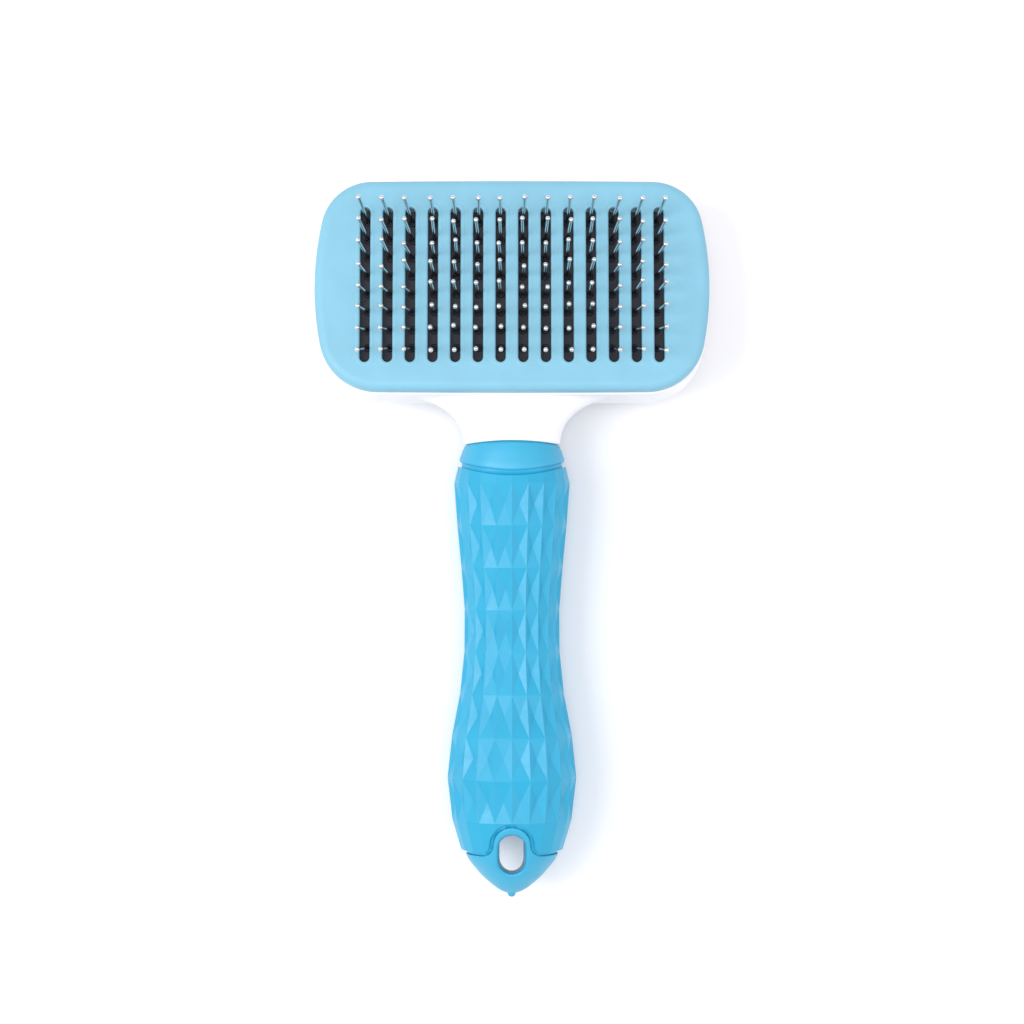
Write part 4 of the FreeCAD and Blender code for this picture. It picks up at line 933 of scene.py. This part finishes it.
def make_grip():
    shell = Shell()
    dimple = 0.95
    made = []
    for y, half in GRIP_RINGS:
        made.append(shell.ring([grip_point(y, half, index) for index in range(RIDGE_COUNT)]))
    for row, (low, high) in enumerate(zip(made, made[1:])):
        plain = row in (0, len(made) - 2)
        for index in range(RIDGE_COUNT):
            after = (index + 1) % RIDGE_COUNT
            corners = (low[index], low[after], high[after], high[index])
            if plain:
                shell.bm.faces.new(corners)
                continue
            middle = sum((corner.co for corner in corners), Vector()) / 4
            inward = (Vector((0, middle.y, AXIS_Z)) - middle).normalized()
            apex = shell.bm.verts.new(middle + inward * dimple)
            for first, second in zip(corners, corners[1:] + corners[:1]):
                shell.bm.faces.new((first, second, apex))
    shell.bm.faces.new(made[0])
    shell.bm.faces.new(made[-1])
    grip = mesh_piece(shell, "grip_work")
    combine(grip, "DIFFERENCE", prism(collar_region(GROOVE_WIDTH), -60, 90))
    combine(grip, "DIFFERENCE", prism(cap_region(GROOVE_WIDTH), -60, 90))
    soften(grip, 0.16, 1, 6)
    smooth_core = Shell()
    add_core(smooth_core)
    core = mesh_piece(smooth_core, "core_work")
    combine(core, "DIFFERENCE", prism(cap_region(0), -60, 90))
    for face in core.data.polygons:
        face.use_smooth = True
    join_into(grip, core)
    mesh = grip.data
    bpy.data.objects.remove(grip)
    mesh.transform(Matrix.Scale(MM, 4))
    return settle(mesh, "grip_sleeve_looks", GRIP_BLUE, "brush", ["grip_sleeve"])


def add_core(shell):
    """The smooth ground of the two grooves, one lip under the collar and one under the end cap."""
    around = 96
    under_collar = [(1.0, 13.3), (0, 13.55), (-1.5, 13.75), (-4, 13.8)]
    under_cap = [(24.5, 14.3), (21.5, 14.9), (20.0, 14.75), (17.0, 13.9)]
    under_cap += [(14.0, 13.0), (12.5, 12.3), (11.0, 11.4)]
    for start, profile in ((COLLAR_LOW_Y, under_collar), (TIP_Y, under_cap)):
        shell.closed([handle_ring(start + height, half, around) for height, half in profile])


# The end cap's half width at heights over the tip.
CAP_PROFILE = [
    (22.0, 15.95), (19.5, 15.3), (17.0, 14.5), (14.5, 13.55), (12.6, 12.8), (10.3, 11.7),
    (8.2, 10.07), (6.0, 8.17), (3.8, 5.72), (2.4, 3.9), (1.6, 2.5), (1.25, 1.4),
]


def cap_half(height):
    """The end cap's half width at a height over the tip, on a smooth line through its profile."""
    points = CAP_PROFILE[::-1]
    if height <= points[0][0]:
        return points[0][1]
    for index in range(len(points) - 1):
        (h0, w0), (h1, w1) = points[index], points[index + 1]
        if height <= h1:
            before = points[max(index - 1, 0)]
            after = points[min(index + 2, len(points) - 1)]
            slope0 = (w1 - before[1]) / (h1 - before[0]) if h1 > before[0] else 0
            slope1 = (after[1] - w0) / (after[0] - h0)
            t = (height - h0) / (h1 - h0)
            gap = h1 - h0
            return ((2 * t ** 3 - 3 * t * t + 1) * w0 + (t ** 3 - 2 * t * t + t) * gap * slope0
                    + (-2 * t ** 3 + 3 * t * t) * w1 + (t ** 3 - t * t) * gap * slope1)
    return points[-1][1]


def cap_height_z(x, y):
    """How far the end cap's skin stands off the handle's axis above a plan point."""
    half = cap_half(y - TIP_Y)
    return half * DEPTH_RATIO * math.sqrt(max(1 - (x / half) ** 2, 0.05))


def hang_tool():
    """Cutter for the hanging slot, with lips rounded where it meets the skin."""
    shell = Shell()
    lips = [(2.2, 3.0), (1.1, 0.35), (0.75, -0.02), (0.42, -0.32), (0.17, -0.75), (0.0, -1.3)]
    rings = []
    for side in (1, -1):
        part = []
        for grow, rise in lips:
            ring = slot_ring(0, HANG_Y, HANG_HALF_WIDTH, HANG_HALF_LENGTH, grow, 0, steps=20)
            points = []
            for point in ring:
                level = cap_height_z(point.x, point.y) + rise
                draft = 0
                slant = 0
                if side < 0:
                    draft = (HANG_DRAFT_RIGHT if point.x > 0 else HANG_DRAFT_LEFT) * point.x / HANG_HALF_WIDTH
                    slant = HANG_SLANT if point.y < HANG_Y else 0
                points.append(Vector((point.x - draft, point.y - slant, AXIS_Z + side * level)))
            part.append(points)
        rings += part if side == 1 else part[::-1]
    shell.closed(rings)
    return mesh_piece(shell, "tool")


def make_end_cap():
    shell = Shell()
    around = 160
    rings = []
    height = 22.0
    heights = []
    while height > 1.3:
        heights.append(height)
        height -= 0.5 if height > 5 else 0.25
    for height in heights + [1.25]:
        rings.append(handle_ring(TIP_Y + height, cap_half(height), around))
    shell.closed(rings)
    cap = mesh_piece(shell, "cap_work")
    combine(cap, "INTERSECT", prism(cap_region(0), -60, 90))
    combine(cap, "DIFFERENCE", hang_tool())
    nub = Shell()
    profile = [(0.9, 2.4), (1.15, 1.3), (1.1, 0.8), (0.95, 0.35), (0.6, 0.1), (0.2, 0.02)]
    rings = []
    for radius, height in profile:
        ring = round_ring(-0.1, 0, radius, 0, 20)
        rings.append([Vector((p.x, TIP_Y + height, AXIS_Z + p.y)) for p in ring])
    nub.closed(rings)
    combine(cap, "UNION", mesh_piece(nub, "tool"))
    remesh = cap.modifiers.new("remesh", "REMESH")
    remesh.mode = "VOXEL"
    remesh.voxel_size = 0.24
    remesh.use_smooth_shade = True
    relax = cap.modifiers.new("relax", "SMOOTH")
    relax.factor = 0.5
    relax.iterations = 5
    bake(cap)
    mesh = cap.data
    bpy.data.objects.remove(cap)
    mesh.transform(Matrix.Scale(MM, 4))
    for face in mesh.polygons:
        face.use_smooth = True
    return settle(mesh, "end_cap_looks", HANDLE_BLUE, "brush", ["end_cap"])


make_face_plate()
make_housing()
make_tang()
make_rear_cover()
make_button()
make_button_ribs()
make_pin_base()
make_pins()
make_springs()
make_collar()
make_grip()
make_end_cap()

# CAD nodes that stay, with their finish.
kept = {
    "pin_backing_plate": BLACK,
    "pusher_yoke": GREY,
    "pin_pack_screws": SCREW_STEEL,
    "cover_screws": SCREW_STEEL,
    "plate_screws": SCREW_STEEL,
    "button_screws": SCREW_STEEL,
}
for node, material in kept.items():
    item = frame["nodes"][node]
    item.data.materials.clear()
    item.data.materials.append(material)
    if material is SCREW_STEEL:
        edge = item.modifiers.new("edge", "BEVEL")
        edge.width = 0.12 * MM
        edge.segments = 2
        edge.limit_method = "ANGLE"
        edge.angle_limit = math.radians(40)


# Stage, light and camera --------------------------------------------------------------------------

def make_floor():
    size = 3.0
    mesh = bpy.data.meshes.new("floor")
    corners = [(-size, -size, 0), (size, -size, 0), (size, size, 0), (-size, size, 0)]
    mesh.from_pydata(corners, [], [(0, 1, 2, 3)])
    floor = bpy.data.objects.new("floor", mesh)
    bpy.context.scene.collection.objects.link(floor)
    material, nodes, links, shader = new_material("paper")
    place = nodes.new("ShaderNodeTexCoord").outputs["Object"]
    cloud = noise(nodes, links, place, 6.0, 3.0)
    links.new(tint(nodes, links, cloud, (0.90, 0.90, 0.915), (0.92, 0.92, 0.93)), shader.inputs["Base Color"])
    shader.inputs["Roughness"].default_value = 0.9
    shader.inputs["Specular IOR Level"].default_value = 0.1
    mesh.materials.append(material)


def make_light(name, place, target, size, power, colour):
    data = bpy.data.lights.new(name, "AREA")
    data.shape = "RECTANGLE"
    data.size = size[0]
    data.size_y = size[1]
    data.energy = power
    data.color = colour
    light = bpy.data.objects.new(name, data)
    light.location = place
    light.rotation_euler = (Vector(target) - Vector(place)).to_track_quat("-Z", "Y").to_euler()
    bpy.context.scene.collection.objects.link(light)


def make_world():
    world = bpy.data.worlds.new("studio")
    world.use_nodes = True
    background = world.node_tree.nodes["Background"]
    background.inputs["Color"].default_value = (0.97, 0.965, 1.0, 1)
    background.inputs["Strength"].default_value = 0.76
    bpy.context.scene.world = world


def make_camera():
    """Straight above the brush, with the head at the top of the picture."""
    data = bpy.data.cameras.new("camera")
    data.lens = 101.2
    data.sensor_width = 36.0
    data.clip_end = 10.0
    camera = bpy.data.objects.new("camera", data)
    camera.location = (0, 7.82 * MM, 0.8)
    bpy.context.scene.collection.objects.link(camera)
    bpy.context.scene.camera = camera


make_floor()
make_light("key", (-0.6, 0.03, 0.8), (0, 0, 0), (0.45, 0.7), 5.6, (1.0, 0.99, 0.98))
make_light("top", (0.05, 0.0, 1.3), (0, 0, 0), (0.4, 0.4), 3.6, (1.0, 1.0, 1.0))
make_light("fill", (0.8, -0.1, 0.7), (0, 0, 0), (0.7, 0.9), 2.3, (0.97, 0.97, 1.0))
make_world()
make_camera()
bpy.context.scene.view_settings.view_transform = "Standard"
